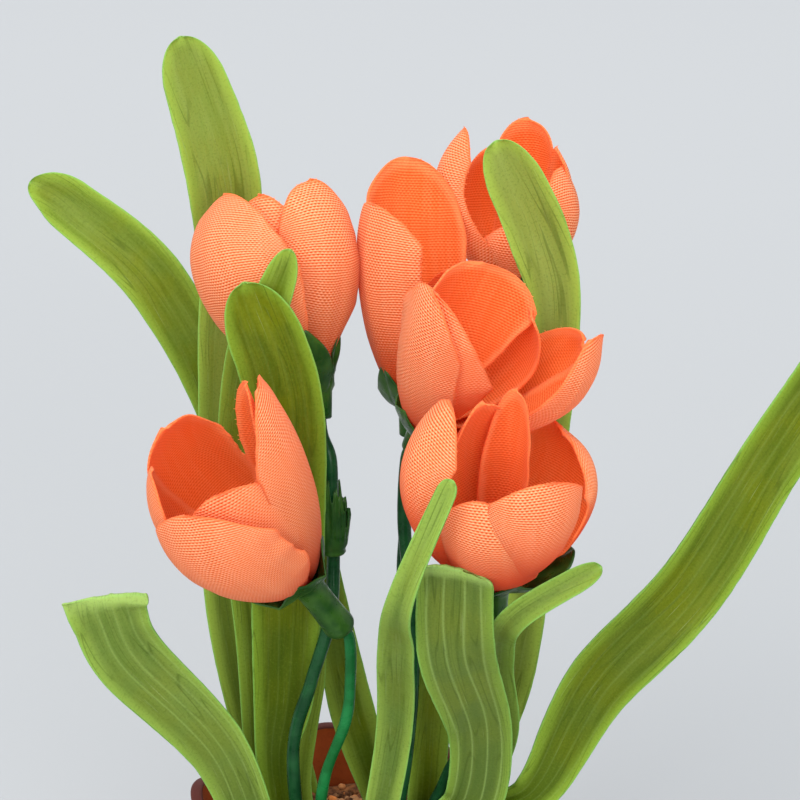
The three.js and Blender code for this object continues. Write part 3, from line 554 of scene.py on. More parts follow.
def leaf_material():
    look = Look("moulded_leaf", roughness=0.46, Specular_IOR_Level=0.07, Subsurface_Weight=0.06,
                Subsurface_Scale=0.002, Subsurface_Radius=(0.5, 1.0, 0.15))
    u, v = look.uv("weave")
    rim, height = look.uv("rim")
    rib, tone = look.uv("side")
    # Painted sheen: leaves with a tone over 1 get a pale, bluish-green painted reflection
    painted_sheen = look.fit(tone, 0.95, 1.05, 0.0, 0.2)
    tone = look.math("FRACT", tone)
    shift = look.times(tone, 40.0)
    at = look.vector(u, v, shift)

    def stretched(across, along):
        return look.vector(look.times(u, across), look.times(v, along), shift)

    streak = look.noise(stretched(0.55, 0.03), 1.0, 4.0, 0.6)
    blotch = look.noise(at, 0.09, 3.0)
    fine = look.noise(at, 2.6, 4.0, 0.6)
    # Long fine veins, where a slow noise crosses its middle value
    wander = look.noise(stretched(0.36, 0.018), 1.0, 1.0)
    step = look.math("FRACT", look.times(wander, 9.0))
    vein = look.fit(look.math("ABSOLUTE", look.math("SUBTRACT", step, 0.5)), 0.0, 0.13, 1.0, 0.0)
    sparse = look.fit(look.noise(stretched(0.25, 0.05), 1.0, 2.0), 0.4, 0.62)
    vein = look.times(vein, sparse)
    scratch = look.noise(stretched(3.2, 0.09), 1.0, 2.0)
    scratch = look.times(look.fit(scratch, 0.62, 0.74), look.fit(blotch, 0.42, 0.6))
    dark = look.blend(look.fit(streak, 0.3, 0.72), (0.042, 0.06, 0.0003), (0.082, 0.105, 0.001))
    light = look.blend(look.fit(streak, 0.3, 0.72), (0.112, 0.182, 0.013), (0.185, 0.262, 0.048))
    base = look.blend(tone, dark, light)
    base = look.blend(look.fit(blotch, 0.4, 0.65, 0.0, 0.5), base, (0.125, 0.145, 0.001))
    base = look.blend(look.fit(tone, 0.68, 0.8, 0.0, 0.55), base, (0.2, 0.235, 0.05))
    # Painted shade: leaves darken towards their foot, down among the other leaves and in the pot
    base = look.blend(look.fit(height, 0.7, 0.05, 0.0, 0.8), base, (0.03, 0.058, 0.0002))
    # Painted light: leaves are paler towards their edges, where the thin plastic glows and catches highlights
    side = look.fit(look.math("MULTIPLY_ADD", streak, -1.4, rim), -0.6, 1.9, 0.9, 0.0)
    base = look.blend(side, base, look.blend(tone, (0.13, 0.22, 0.012), (0.27, 0.37, 0.055)))
    base = look.blend(painted_sheen, base, (0.15, 0.25, 0.085))
    # A pale green line along the very edge: the moulding flash, with a painted highlight
    rim_line = look.fit(rim, 0.02, 0.42, 0.6, 0.0)
    base = look.blend(rim_line, base, (0.16, 0.36, 0.08))
    base = look.blend(look.times(vein, 0.42), base, (0.028, 0.05, 0.002))
    base = look.blend(look.times(rib, 0.42), base, (0.3, 0.42, 0.12))
    base = look.blend(look.times(scratch, 0.2), base, (0.3, 0.38, 0.16))
    base = look.blend(look.fit(fine, 0.5, 0.8, 0.0, 0.14), base, (0.22, 0.3, 0.04))
    base = look.blend(look.fit(fine, 0.5, 0.3, 0.0, 0.25), base, (0.035, 0.055, 0.0005))
    look.colour(base)
    look.rough(look.fit(look.noise(at, 0.5, 3.0), 0.3, 0.7, 0.36, 0.56))
    look.bump(streak, 0.2, 0.35)
    look.bump(look.math("SUBTRACT", scratch, vein), 0.06, 0.5)
    look.bump(fine, 0.04, 0.4)
    return look.material


def plastic_material(name, dark, light, roughness=0.33):
    look = Look(name, roughness=roughness, Specular_IOR_Level=0.16)
    at = look.place()
    cloud = look.noise(at, 260.0, 3.0)
    grain = look.noise(at, 1700.0, 3.0)
    look.colour(look.blend(look.fit(cloud, 0.32, 0.7), dark, light))
    look.rough(look.fit(look.noise(at, 600.0, 2.0), 0.3, 0.7, roughness - 0.08, roughness + 0.14))
    look.bump(cloud, 0.5, 0.35)
    look.bump(grain, 0.06, 0.4)
    return look.material


def pot_material():
    look = Look("pot_brown", roughness=0.66, Specular_IOR_Level=0.12)
    at = look.place()
    cloud = look.noise(at, 90.0, 4.0)
    grain = look.noise(at, 1500.0, 4.0, 0.65)
    rim, _ = look.uv("rim")
    base = look.blend(look.fit(cloud, 0.35, 0.68), (0.25, 0.042, 0.006), (0.31, 0.056, 0.01))
    base = look.blend(look.fit(grain, 0.5, 0.72, 0.0, 0.4), base, (0.14, 0.022, 0.004))
    # Painted shade: the rolled rim bead is painted dark, as its edge in shadow
    base = look.blend(look.fit(rim, 0.35, 0.9), base, (0.075, 0.018, 0.014))
    look.colour(base)
    look.bump(cloud, 0.4, 0.25)
    look.bump(grain, 0.08, 0.6)
    return look.material


def soil_material():
    look = Look("soil_crumb", roughness=0.9, Specular_IOR_Level=0.2)
    at = look.place()
    kind, _ = look.uv("side")
    grain = look.noise(at, 1300.0, 5.0, 0.7)
    patch = look.noise(at, 330.0, 3.0)
    base = look.blend(look.fit(grain, 0.35, 0.65), (0.05, 0.018, 0.008), (0.2, 0.08, 0.03))
    base = look.blend(look.fit(patch, 0.52, 0.66, 0.0, 0.6), base, (0.36, 0.14, 0.045))
    base = look.blend(look.fit(kind, 0.45, 0.6), base, (0.42, 0.2, 0.085))
    base = look.blend(look.fit(kind, 0.86, 0.9), base, (0.62, 0.2, 0.05))
    look.colour(base)
    look.bump(grain, 0.3, 0.8)
    return look.material


def foam_material():
    look = Look("foam_cells", roughness=0.95, Specular_IOR_Level=0.1)
    at = look.place()
    cells = look.node("TexVoronoi", {"Vector": at, "Scale": 900.0}).outputs["Distance"]
    look.colour(look.blend(look.fit(cells, 0.1, 0.6), (0.04, 0.06, 0.02), (0.13, 0.17, 0.07)))
    look.bump(cells, 0.4, 0.9)
    return look.material


# Petals and blooms ------------------------------


def middle_line(petal, t):
    """Distance from the bloom's axis and height over its root, along a petal."""
    roundness, belly, length, lip = (petal[k] for k in ("roundness", "belly", "length", "lip"))
    second = mix(0.12, 0.62, roundness) * belly, mix(0.28, 0.12, roundness) * length
    third = (mix(1.78, 1.62, roundness) * belly - mix(0.2, 0.25, roundness) * lip,
             mix(0.48, 0.66, roundness) * length)
    z = bezier(0, second[1], third[1], length, t)
    waist = 1 - 0.3 * (1 - roundness) * np.exp(-((z / 8) ** 2))
    layer = -LAYER_STEP if petal.get("inner") else LAYER_STEP
    return bezier(ROOT_RADIUS, second[0], third[0], lip, t) * waist + layer, z


def petal_rows():
    """Shares of the length: even up to the widest place, then closer towards the tip."""
    low = np.linspace(0, WIDEST, 42)
    swing = np.linspace(0, 1, 34)[1:] * np.radians(PETAL_END)
    return np.concatenate([low, WIDEST + (1 - WIDEST) * np.sin(swing)])


def petal_folds(rng, t, across):
    """Heights of soft folds that run along a petal."""
    folds = 0
    for _ in range(FOLDS):
        centre, spread = rng.uniform(-0.8, 0.8), rng.uniform(0.07, 0.16)
        depth = rng.uniform(-1, 1) * FOLD_DEPTH
        reach = np.clip(1 - np.abs(t - rng.uniform(0.25, 0.75)) / rng.uniform(0.3, 0.55), 0, 1)
        drift = centre * (1 - 0.3 * t) + rng.uniform(-0.15, 0.15) * t
        folds = folds + depth * np.exp(-((across - drift) / spread) ** 2) * reach
    return folds


def add_petal(piece, petal, seed, root_shade_reach):
    rng = np.random.default_rng(seed)
    t = petal_rows()[:, None]
    across = np.linspace(-1, 1, 37)[None, :]
    width, length = petal["width"], petal["length"]
    bend, lean = petal.get("bend", 10), petal.get("lean", 0)
    heading = np.radians(petal["turn"])
    along = np.array([np.cos(heading), np.sin(heading), 0])
    aside = np.array([-np.sin(heading), np.cos(heading), 0])
    up = np.array([0, 0, 1.0])
    r, z = middle_line(petal, t)
    r_next, z_next = middle_line(petal, t + 1e-3)
    rise = unit(np.concatenate([r_next - r, z_next - z], axis=1))
    outward = along * rise[:, 1:] - up * rise[:, :1]
    past = np.clip((t - WIDEST) / (1 - WIDEST), 0, 1)
    swell = np.sin(np.minimum(t / WIDEST, 1) * np.pi / 2) ** 1.25
    plan = np.where(t < WIDEST, 0.14 + 0.86 * swell, np.sqrt(1 - past ** petal.get("point", 2)))
    ragged = 0.008 * waves(rng, z + 0 * across, 5) + 0.003 * waves(rng, z, 1.3)
    ragged = 1 + ragged * np.abs(across) ** 8
    arc = np.minimum(bend, r + 0.2)
    half = np.minimum(width * plan / arc, MOST_WRAP * np.clip(2 * t + 0.7, 0, 1)) * ragged
    angle = across * half
    wide = arc * half
    grown = np.clip(4 * t, 0, 1)
    folds = petal_folds(rng, t, across)
    right, left = waves(rng, z + 0 * across, 9), waves(rng, z + 0 * across, 9)
    edge = EDGE_WAVE * width * np.abs(across) ** 4 * np.where(across > 0, right, left)
    lip_wave = LIP_WAVE * width * past**2 * waves(rng, across * wide, 7)
    lift = (EDGE_LIFT * across + folds + edge + lip_wave) * grown
    middle = along * r + up * z + aside * lean * t * t
    cos, sin = np.cos(angle)[..., None], np.sin(angle)[..., None]
    normal = outward[:, None] * cos + aside * sin
    fall = (arc * (1 - np.cos(angle)))[..., None]
    sheet = middle[:, None] + aside * (arc * np.sin(angle))[..., None] - outward[:, None] * fall
    faces = [sheet + normal * (lift + side * FABRIC / 2)[..., None] for side in (1, -1)]
    # Maps: millimetres along the threads, distance to the edge, and which side
    steps = np.hypot(np.diff(r, axis=0), np.diff(z, axis=0))
    v = np.concatenate([[[0]], np.cumsum(steps, axis=0)]) + 0 * across
    u = across * wide
    beyond = np.sqrt(np.clip(past**2 + across**2 * (1 - past**2), 0, 1))
    rim = np.where(t < WIDEST, (1 - np.abs(across)) * wide, (1 - beyond) * (width + 0.4 * length) / 2)
    chance = rng.uniform(0, 1)
    inside = np.repeat([0.0, 1.0], u.size)
    # Height along the petal, moved by how far the painted root shade reaches
    height = doubled(t, u) - np.where(inside > 0, INNER_SHADE_REACH, root_shade_reach)
    piece.add(np.concatenate([f.reshape(-1, 3) for f in faces]), shell_faces(len(t), across.size),
              weave=(doubled(u, u), doubled(v, u)), rim=(doubled(rim, u), height),
              side=(inside, np.full(2 * u.size, chance)))
    add_fibres(piece, rng, sheet, normal, lift, chance)


def add_fibres(piece, rng, sheet, normal, lift, chance):
    """Loose fibres along a petal's cut edge, each a thin flat sliver."""
    up = np.array([0, 0, 1.0])
    for column, step in ((0, -1), (-1, 1)):
        for row in range(6, len(sheet)):
            if rng.random() > FIBRE_SHARE:
                continue
            away = normal[row, column]
            place = sheet[row, column] + away * lift[row, column]
            out = unit(sheet[row, column] - sheet[row, column - step * 2])
            tip = out * rng.uniform(0.08, 0.5) + up * rng.uniform(-0.4, 0.4) + away * rng.uniform(-0.15, 0.15)
            thick = unit(np.cross(tip, away)) * FIBRE_WIDTH
            root, end = place - out * 0.15, place + tip * 0.6
            points = [root - thick, root + thick, end + thick, end - thick, place + tip]
            none = np.zeros(len(points))
            piece.add(points, [[0, 1, 2, 3]], weave=(none, none), rim=(none, none + 0.8),
                      side=(none, none + chance))


def add_turned(piece, rows, **maps):
    """Rings of points [ring, side, xyz], joined in order."""
    rows = np.asarray(rows)
    piece.add(rows, grid_faces(rows.shape[0], rows.shape[1], around=True), **maps)


def ring(radius, z, sides, start=0.0):
    angle = start + turns(sides)
    radius, z = np.broadcast_to(radius, sides), np.broadcast_to(z, sides)
    return np.stack([radius * np.cos(angle), radius * np.sin(angle), z], axis=1)


def add_plug(piece):
    """The glued knot of cloth at the root."""
    profile = [(0.02, -0.5), (1.2, -0.5), (1.8, -0.4), (2.1, 0.8),
               (1.9, 1.8), (1.5, 3), (0.9, 3.8), (0.02, 4)]
    rows = np.array([ring(r, z, PLUG_SIDES) for r, z in profile])
    flat = np.zeros(rows.shape[:2])
    add_turned(piece, rows, weave=(rows[..., 0], rows[..., 2]), rim=(flat + 9, flat), side=(flat, flat))


def make_bloom(name, petals, material, place):
    piece = Piece()
    add_plug(piece)
    for index, petal in enumerate(petals):
        add_petal(piece, petal, [ord(name[0]), len(name), index], ROOT_SHADE_REACH.get(name, 0))
    piece.finish(f"petals_{name}", material, f"bloom_{name}", place)


def reach_at(petal, height):
    """How far a petal's middle line is from the axis, at these heights over the root."""
    r, z = middle_line(petal, np.linspace(0, WIDEST, 200))
    return np.interp(height, z, r)


def make_calyx(name, head, petals, material, place):
    rng = np.random.default_rng([7, len(name), ord(name[-1])])
    spin = np.radians(head.get("spin", 0))
    angle = turns(CALYX_SIDES)
    sector = 2 * np.pi / SEPALS
    away = np.abs((angle + sector / 2) % sector - sector / 2) / (sector / 2)
    tip = head.get("sepal", SEPAL_TIP)
    edge = SEPAL_NOTCH + (tip - SEPAL_NOTCH) * (1 - away) ** 1.1 + 0.15 * waves(rng, angle * 10, 8)
    slack = FABRIC / 2 + EDGE_LIFT
    spread = CALYX_SIDES // 15

    def cup(step, gap):
        height = edge * step
        near = [np.where(np.cos(angle + spin - np.radians(p["turn"])) > CUP_REACH, reach_at(p, height), 0)
                for p in petals]
        widest = np.maximum(np.max(near, axis=0), MIN_CUP - slack)
        widest = np.mean([np.roll(widest, s) for s in range(-spread, spread + 1)], axis=0)
        radius = widest + slack + gap * (1 - CUP_THINNED * step**2) + 0.12 * np.cos(away * np.pi) * step
        return ring(radius, height - (CUP_DROP if gap > 0 else 0), CALYX_SIDES)

    steps = np.linspace(0.15, 1, 14)
    bore = WIRE_RADIUS + 0.1
    thick, foot = head.get("girth", SLEEVE_RADIUS), -head.get("sleeve", SLEEVE_LENGTH)
    if foot > -SHORT_SLEEVE:
        # A short sleeve is one smooth cone under the cup
        cone = [(mix(bore + 0.75, MIN_CUP, s), mix(foot + 0.25, -0.6, s)) for s in np.linspace(0, 1, 7)]
        outside = [(bore, foot), (bore + 0.5, foot + 0.03)] + cone
    else:
        outside = [(bore, foot), (thick - 0.7, foot + 0.02), (thick - 0.3, foot + 0.2),
                   (thick - 0.05, foot + 0.7), (thick, foot + 1.3), (thick - 0.12, foot + 2.6),
                   (thick - 0.2, foot / 2), (thick - 0.16, -3.4), (thick, -2.6), (2.9, -1.6), (3.2, -0.8)]
    inside = [(MIN_CUP - 0.05, -0.8), (bore, -1.2), (bore, foot)]
    rows = [ring(r, z, CALYX_SIDES) for r, z in outside]
    rows += [cup(s, SEPAL_WALL) for s in steps]
    rows += [cup(s, 0) for s in steps[::-1]]
    rows += [ring(r, z, CALYX_SIDES) for r, z in inside]
    cos, sin = np.cos(spin), np.sin(spin)
    turned = np.array(rows) @ np.array([[cos, sin, 0], [-sin, cos, 0], [0, 0, 1]])
    piece = Piece()
    add_turned(piece, turned)
    piece.finish(f"sepals_{name}", material, f"calyx_{name}", place)


# Wires and sheath ------------------------------


def make_wire(name, head, material):
    rng = np.random.default_rng(len(name))
    way = Way(wire_route(name, head))
    distance = np.linspace(0, way.length, int(way.length / WIRE_STEP))
    centre, tangent = way.at(distance), way.tangent(distance)
    side = np.zeros_like(centre)
    side[0] = unit(np.cross(tangent[0], [0, 1, 0]))
    for i in range(1, len(side)):
        side[i] = unit(side[i - 1] - tangent[i] * (side[i - 1] @ tangent[i]))
    other = np.cross(tangent, side)
    angle = turns(WIRE_SIDES)
    uneven = 1 - WIRE_THINNED + WIRE_UNEVEN * waves(rng, distance, 11)
    thick = head.get("radius", WIRE_RADIUS) * uneven[:, None, None]
    ends = np.ones(len(distance))
    ends[0] = ends[-1] = WIRE_END
    outline = side[:, None] * np.cos(angle)[None, :, None] + other[:, None] * np.sin(angle)[None, :, None]
    piece = Piece()
    rows = centre[:, None] + outline * thick * ends[:, None, None]
    add_turned(piece, rows)
    for end in (0, len(rows) - 1):
        cap = np.array([rows[end], centre[end] + (rows[end] - centre[end]) * 0.01])
        add_turned(piece, cap if end else cap[::-1])
    piece.finish(f"wire_{name}", material, f"stem_{name}")


def make_sheath(material):
    rng = np.random.default_rng(11)
    sides = SHEATH_SIDES
    angle = turns(sides)
    teeth = np.interp(angle, 2 * np.pi * np.arange(13) / 12, SHEATH_TEETH + SHEATH_TEETH[:1])
    torn = np.clip(teeth + rng.uniform(-1.6, 1.2, sides), 0.8, max(SHEATH_TEETH))
    bore = WIRE_RADIUS + CLEARANCE
    shares = np.linspace(0, 1, 12)

    def lifted(share, radius):
        flare = radius + 0.5 * share + 0.22 * share * waves(np.random.default_rng(3), angle * 3, 2)
        return ring(flare, SHEATH_SLEEVE + torn * share, sides)

    rows = [ring(bore, 0, sides), ring(bore + 0.5, 0, sides), ring(bore + 0.7, 0.3, sides),
            ring(bore + 0.6, SHEATH_SLEEVE * 0.5, sides), ring(bore + 0.7, SHEATH_SLEEVE - 0.6, sides)]
    rows += [lifted(s, bore + 1.0) for s in shares]
    rows += [lifted(s, bore + 0.6) for s in shares[::-1]]
    rows += [ring(bore, SHEATH_SLEEVE - 0.6, sides), ring(bore, 0, sides)]
    piece = Piece()
    add_turned(piece, rows)
    place = frame_of(SHEATH_AXIS), np.array(SHEATH_FOOT)
    piece.finish("torn_sheath", material, "stem_sheath", place)


def along_sheath(distance):
    return (np.array(SHEATH_FOOT) + unit(np.array(SHEATH_AXIS, float)) * distance).tolist()


def wire_route(name, head):
    root, axis = np.array(head["root"]), unit(np.array(head["axis"], float))
    sheathed = [along_sheath(d) for d in (-2, 8, 16)] if name == "upper_left" else []
    sleeve = head.get("sleeve", SLEEVE_LENGTH)
    into_cup = (sleeve + 2.5, sleeve - 1, sleeve / 2, 1.6)
    return head["wire"] + sheathed + [(root - axis * d).tolist() for d in into_cup]


# Leaves ------------------------------


def leaf_columns(ribs):
    """Shares of the half width: even, and closer at the edges and on the ribs."""
    edges = {-1, -0.985, -0.95, -0.88, 0.88, 0.95, 0.985, 1}
    on_ribs = {round(c + d, 4) for c in ribs for d in (-0.075, -0.045, -0.02, 0, 0.02, 0.045, 0.075)}
    return np.array(sorted(edges | on_ribs | {round(x, 2) for x in np.linspace(-0.8, 0.8, 9)}))[None, :]


def rib_heights(rng, ribs, strength, u, t, fade):
    height = 0
    for c in ribs:
        drift = c + 0.02 * waves(rng, t, 35)
        height = height + strength * rng.uniform(0.7, 1.1) * fade * np.exp(-((u - drift) / 0.032) ** 2)
    return height


def make_leaf(name, leaf, material, seed):
    rng = np.random.default_rng([21, seed])
    rows_of = np.array(leaf["way"], float)
    way = Way(rows_of[:, :3])
    tip, end, cup = leaf.get("tip", 4), leaf.get("end", 0.3), leaf.get("cup", 1)
    body = np.linspace(0, way.length - tip, int((way.length - tip) / 1.3))
    swing = np.linspace(0, 1, 18)[1:] * np.radians(LEAF_END)
    distance = np.concatenate([body, way.length - tip + tip * np.sin(swing)])
    centre, tangent = way.at(distance), way.tangent(distance)
    share = distance / way.length
    facing = catmull(np.array(leaf["faces"], float), share)
    side = unit(np.cross(facing, tangent))
    normal = np.cross(tangent, side)
    full = catmull(np.repeat(rows_of[:, 3:], 3, axis=1), way.share(distance))[:, 0]
    past = np.clip((distance - way.length + tip) / tip, 0, 1)
    plan = end + (1 - end) * np.sqrt(1 - past**2)
    half = (full / 2 * plan)[:, None]
    depth = (cup * full / rows_of[:, 3].max())[:, None]
    ribs = RIB_LINES.get(name, RIB_LINES["plain"])
    u = leaf_columns(ribs)
    t = distance[:, None]
    fade = np.clip(share * 4, 0, 1)[:, None] * np.clip(1.25 - past, 0, 1)[:, None]
    height = rib_heights(rng, ribs, RIB_STRENGTH.get(name, FAINT_RIB), u, t, fade)
    from_end = way.length - t
    torn_off = end >= TORN_END
    if torn_off:
        lip = LIP_WIDTH * (1.15 + 0.15 * waves(rng, u * half, 7))
        height = height * np.clip((from_end - lip) / LIP_WIDTH, 0, 1)
        height = height + 1.1 * np.clip(1.6 - from_end / lip, 0, 1)
    flash = 1 + 0.004 * np.abs(u) ** 30 * (waves(rng, t, 6) + 0.7 * waves(rng, t, 1.9))
    right, left = waves(rng, t, 22), waves(rng, t, 22)
    ripple = 0.12 * np.abs(u) ** 3 * np.where(u > 0, right, left) * np.clip(share * 3, 0, 1)[:, None]
    thickness = LEAF_THICKNESS * (0.34 + 0.66 * np.sqrt(np.clip(1 - np.abs(u) ** 5, 0, 1)))
    thickness = thickness * (1 - 0.5 * past[:, None] ** 3)
    across = side[:, None] * (half * u * flash)[..., None]
    slant = SLANTS.get(name, 0) * u * np.clip(1 - from_end / 12, 0, 1)
    torn = 0.07 * waves(rng, u * half, 2.5) * np.clip(1 - from_end / 2, 0, 1) * torn_off
    across = across + tangent[:, None] * (slant + torn)[..., None]
    base = centre[:, None] + across + normal[:, None] * (depth * (u * u - 0.5) + ripple)[..., None]
    raised = RIB_HEIGHT * height
    top = base + normal[:, None] * (thickness / 2 + raised * (0.6 if leaf.get("ribbed") else 0.45))[..., None]
    under = base - normal[:, None] * (thickness / 2 + raised * 0.15)[..., None]
    place = u * half
    rim = np.minimum((1 - np.abs(u)) * half, from_end + 0 * u)
    piece = Piece()
    piece.add(np.concatenate([top.reshape(-1, 3), under.reshape(-1, 3)]), shell_faces(len(distance), u.size),
              weave=(doubled(place, place), doubled(t, place)),
              rim=(doubled(rim, place), doubled(share[:, None], place)),
              side=(doubled(height, place), doubled(LEAF_TONES[name], place)))
    piece.finish(f"strap_{name}", material, f"leaf_{name}")


# Pot and filling ------------------------------


def inner_radius(z):
    foot, rim = FOOT_RADIUS - POT_WALL, RIM_RADIUS - LOBE_BULGE - POT_WALL
    return mix(foot, rim, (z - POT_FLOOR) / (POT_HEIGHT - POT_FLOOR))


def make_pot(material):
    start = np.radians(LOBE_PEAK)
    angle = start + turns(POT_SIDES)
    lobe = np.abs(np.cos((angle - start) * LOBES / 2)) - 1

    def scalloped(radius, z):
        fade = np.clip((z - BAND_BOTTOM) / (POT_HEIGHT - BAND_BOTTOM), 0, 1)
        return ring(radius + LOBE_BULGE * lobe * fade, z + LOBE_DROP * lobe * fade, POT_SIDES, start)

    def outer(z):
        return mix(FOOT_RADIUS, RIM_RADIUS - BAND_STEP, z / POT_HEIGHT)

    top, wall, bead = POT_HEIGHT, POT_WALL, RIM_BEAD
    band = BAND_BOTTOM + BAND_STEP
    profile = [(0.02, 0), (FOOT_RADIUS - 4, 0), (FOOT_RADIUS - 1.1, 0), (FOOT_RADIUS - 0.5, 0.12),
               (FOOT_RADIUS - 0.12, 0.4), (outer(FOOT_BEVEL), FOOT_BEVEL)]
    profile += [(outer(z), z) for z in np.linspace(3, BAND_BOTTOM - 1, 9)]
    profile += [(outer(BAND_BOTTOM), BAND_BOTTOM), (outer(BAND_BOTTOM) + 0.5, BAND_BOTTOM + 0.15),
                (outer(BAND_BOTTOM) + BAND_STEP, band)]
    profile += [(outer(z) + BAND_STEP - BAND_HOLLOW * np.sin(np.pi * (z - band) / (top - band)), z)
                for z in np.linspace(37, top - 1, 7)]
    rim_at = len(profile)
    profile += [(RIM_RADIUS - 0.05, top - bead), (RIM_RADIUS, top - 0.3), (RIM_RADIUS - 0.18, top - 0.08),
                (RIM_RADIUS - bead, top), (RIM_RADIUS - wall + bead, top),
                (RIM_RADIUS - wall + 0.18, top - 0.08), (RIM_RADIUS - wall, top - 0.3),
                (RIM_RADIUS - wall, top - bead)]
    rim_end = len(profile)
    profile += [(mix(inner_radius(SOIL_LEVEL) + 0.2, RIM_RADIUS - wall - 0.2, (z - SOIL_LEVEL) / 8), z)
                for z in (46, 44, 42, 40, SOIL_LEVEL)]
    profile += [(inner_radius(20), 20), (FOOT_RADIUS - wall, POT_FLOOR + 0.6),
                (FOOT_RADIUS - wall - 0.7, POT_FLOOR), (0.02, POT_FLOOR)]
    rows = np.array([scalloped(r, z) for r, z in profile])
    # Rows of the rim bead, which the material paints dark as painted shade
    painted_rim_shade = np.zeros(rows.shape[:2])
    painted_rim_shade[rim_at + 1:rim_end - 1] = 1
    piece = Piece()
    add_turned(piece, rows, rim=(painted_rim_shade, painted_rim_shade))
    piece.finish("scalloped_pot", material, "pot")


def soil_height(x, y):
    return SOIL_LEVEL + SOIL_BUMP * (np.sin(x * 0.55 + 1) * np.cos(y * 0.6) + np.sin(x * 0.3 - y * 0.4))


def make_soil(material):
    rng = np.random.default_rng(5)
    sides, bottom = SOIL_SIDES, SOIL_LEVEL - SOIL_DEPTH
    edge = inner_radius(bottom) - CLEARANCE
    angle = turns(sides)
    phases = rng.uniform(0, 6.28, (6, 2))
    ways = rng.uniform(-2.4, 2.4, (6, 2))

    def rough(x, y):
        small = sum(np.sin(a * x + p) * np.sin(b * y + q) for (a, b), (p, q) in zip(ways, phases))
        return SOIL_GRAIN * small

    shares = np.concatenate([[0.001], np.linspace(0.04, 1, 38)])
    top = []
    for s in shares[::-1]:
        reach = edge * s
        x, y = reach * np.cos(angle), reach * np.sin(angle)
        z = soil_height(x, y) + rough(x, y) * (s < 0.99)
        top.append(np.stack([x, y, z], axis=1))
    rows = np.array([ring(0.02, bottom, sides), ring(edge, bottom, sides)] + top)
    flat = np.zeros(rows.shape[:2])
    piece = Piece()
    add_turned(piece, rows, side=(flat, flat))
    # Crumbs lie half sunk in the surface
    for _ in range(CRUMBS):
        reach, turn = edge * 0.97 * np.sqrt(rng.random()), rng.uniform(0, 2 * np.pi)
        x, y = reach * np.cos(turn), reach * np.sin(turn)
        size = rng.uniform(0.25, 0.8) * (1 if rng.random() < 0.8 else 1.5)
        size = min(size, max(edge - reach, 0.3))
        lumps = [ring(size * s * rng.uniform(0.75, 1.15, 8), h * size * 0.7, 8) for s, h in
                 ((0.02, -0.8), (0.75, -0.5), (1, 0), (0.8, 0.55), (0.02, 0.85))]
        crumb = np.array(lumps) * np.array([rng.uniform(0.7, 1.2), rng.uniform(0.6, 1), 1])
        turned = crumb @ np.array(Matrix.Rotation(rng.uniform(0, 3), 3, "Z").to_3x3()).T
        place = np.array([x, y, soil_height(x, y) + rough(x, y) + size * 0.15])
        kind = np.full(turned.shape[:2], rng.random())
        add_turned(piece, turned + place, side=(kind, kind))
    piece.finish("soil_crumbs", material, "soil")


# Studio ------------------------------


def area_light(name, place, power, size, colour=(1, 1, 1)):
    light = bpy.data.lights.new(name, "AREA")
    light.energy, light.size, light.color = power, size, colour
    lamp = bpy.data.objects.new(name, light)
    bpy.context.scene.collection.objects.link(lamp)
    lamp.location = place
    aim = Vector((0, 0, 0.1)) - lamp.location
    lamp.rotation_euler = aim.to_track_quat("-Z", "Y").to_euler()


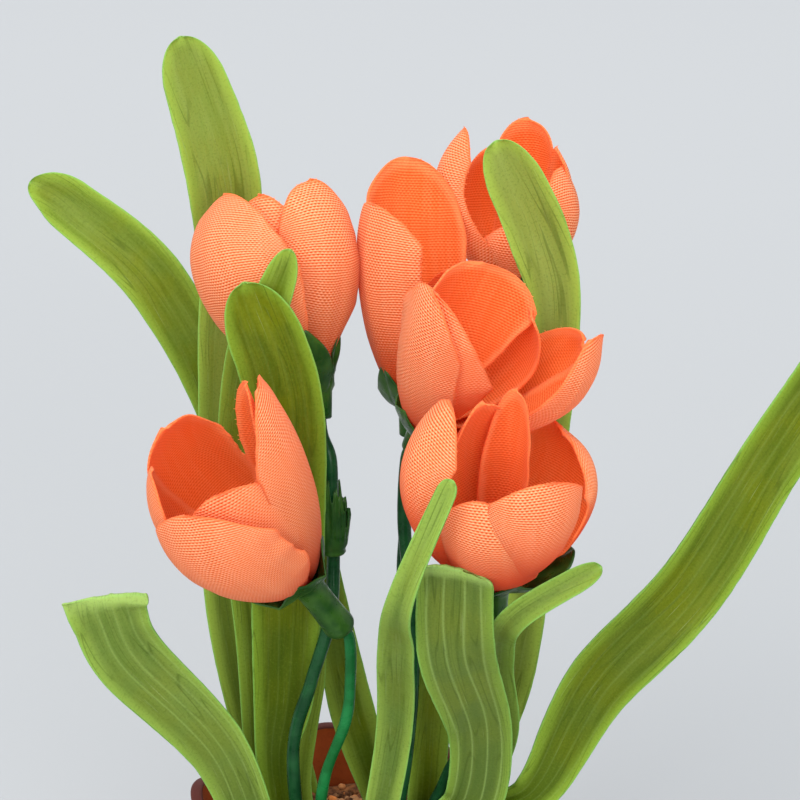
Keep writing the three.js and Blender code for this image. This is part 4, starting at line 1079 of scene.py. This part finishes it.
def make_studio():
    floor_look = Look("pale_floor", roughness=0.9, Specular_IOR_Level=0.1)
    place = floor_look.place()
    depth = floor_look.node("SeparateXYZ", {0: place}).outputs[1]
    cloud = floor_look.noise(place, 3.0, 2.0)
    near = floor_look.blend(floor_look.fit(cloud, 0.3, 0.7), (0.338, 0.348, 0.356), (0.348, 0.358, 0.366))
    # Painted light: the floor is painted lighter farther back, as a gradient of light
    floor_look.colour(floor_look.blend(floor_look.fit(depth, 0.05, 0.7), near, (0.412, 0.422, 0.43)))
    mesh = bpy.data.meshes.new("floor")
    edge = ring(FLOOR_RADIUS, 0, FLOOR_SIDES)
    mesh.from_pydata(edge.tolist(), [], [list(range(FLOOR_SIDES))])
    mesh.materials.append(floor_look.material)
    floor = bpy.data.objects.new("floor", mesh)
    bpy.context.scene.collection.objects.link(floor)

    world = bpy.data.worlds.new("studio")
    world.use_nodes = True
    backdrop = world.node_tree.nodes["Background"]
    backdrop.inputs["Color"].default_value = (0.95, 0.97, 1.0, 1)
    backdrop.inputs["Strength"].default_value = 1.3
    bpy.context.scene.world = world
    area_light("key", (-0.55, -1.05, 0.95), 11, 0.8, (1.0, 0.99, 0.97))
    area_light("fill", (0.28, -1.2, 0.42), 7, 0.6, (0.95, 0.98, 1.0))
    area_light("top", (-0.05, -0.35, 1.25), 9, 0.9)
    bpy.context.scene.view_settings.view_transform = "Standard"

    camera = bpy.data.cameras.new("camera")
    camera.sensor_width = SENSOR
    camera.lens = SENSOR * DISTANCE / FRAME_WIDTH
    camera.clip_start = 0.01
    seen = bpy.data.objects.new("camera", camera)
    down = np.radians(LOOK_DOWN)
    back = np.array([0, -np.cos(down), np.sin(down)])
    seen.location = ((np.array(TARGET) + DISTANCE * back) * MM).tolist()
    seen.rotation_euler = (np.pi / 2 - down, 0, 0)
    bpy.context.scene.collection.objects.link(seen)
    bpy.context.scene.camera = seen


def main():
    make_studio()
    cloth, strap = petal_material(), leaf_material()
    calyx = plastic_material("calyx_green", (0.008, 0.045, 0.006), (0.035, 0.1, 0.014))
    deep = plastic_material("wire_deep", (0.003, 0.032, 0.009), (0.01, 0.062, 0.018), 0.3)
    bright = plastic_material("wire_bright", (0.004, 0.08, 0.016), (0.009, 0.14, 0.034), 0.3)
    for name, head in HEADS.items():
        place = frame_of(head["axis"]), np.array(head["root"])
        petals = [{"roundness": head["roundness"], **p} for p in head["petals"]]
        make_bloom(name, petals, cloth, place)
        make_calyx(name, head, petals, calyx, place)
        make_wire(name, head, bright if name == "lower_left" else deep)
    make_sheath(calyx)
    for seed, (name, shape) in enumerate(LEAVES.items()):
        make_leaf(name, shape, strap, seed)
    make_pot(pot_material())
    make_soil(soil_material())
    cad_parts["foam_plug"].data.materials.clear()
    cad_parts["foam_plug"].data.materials.append(foam_material())


main()
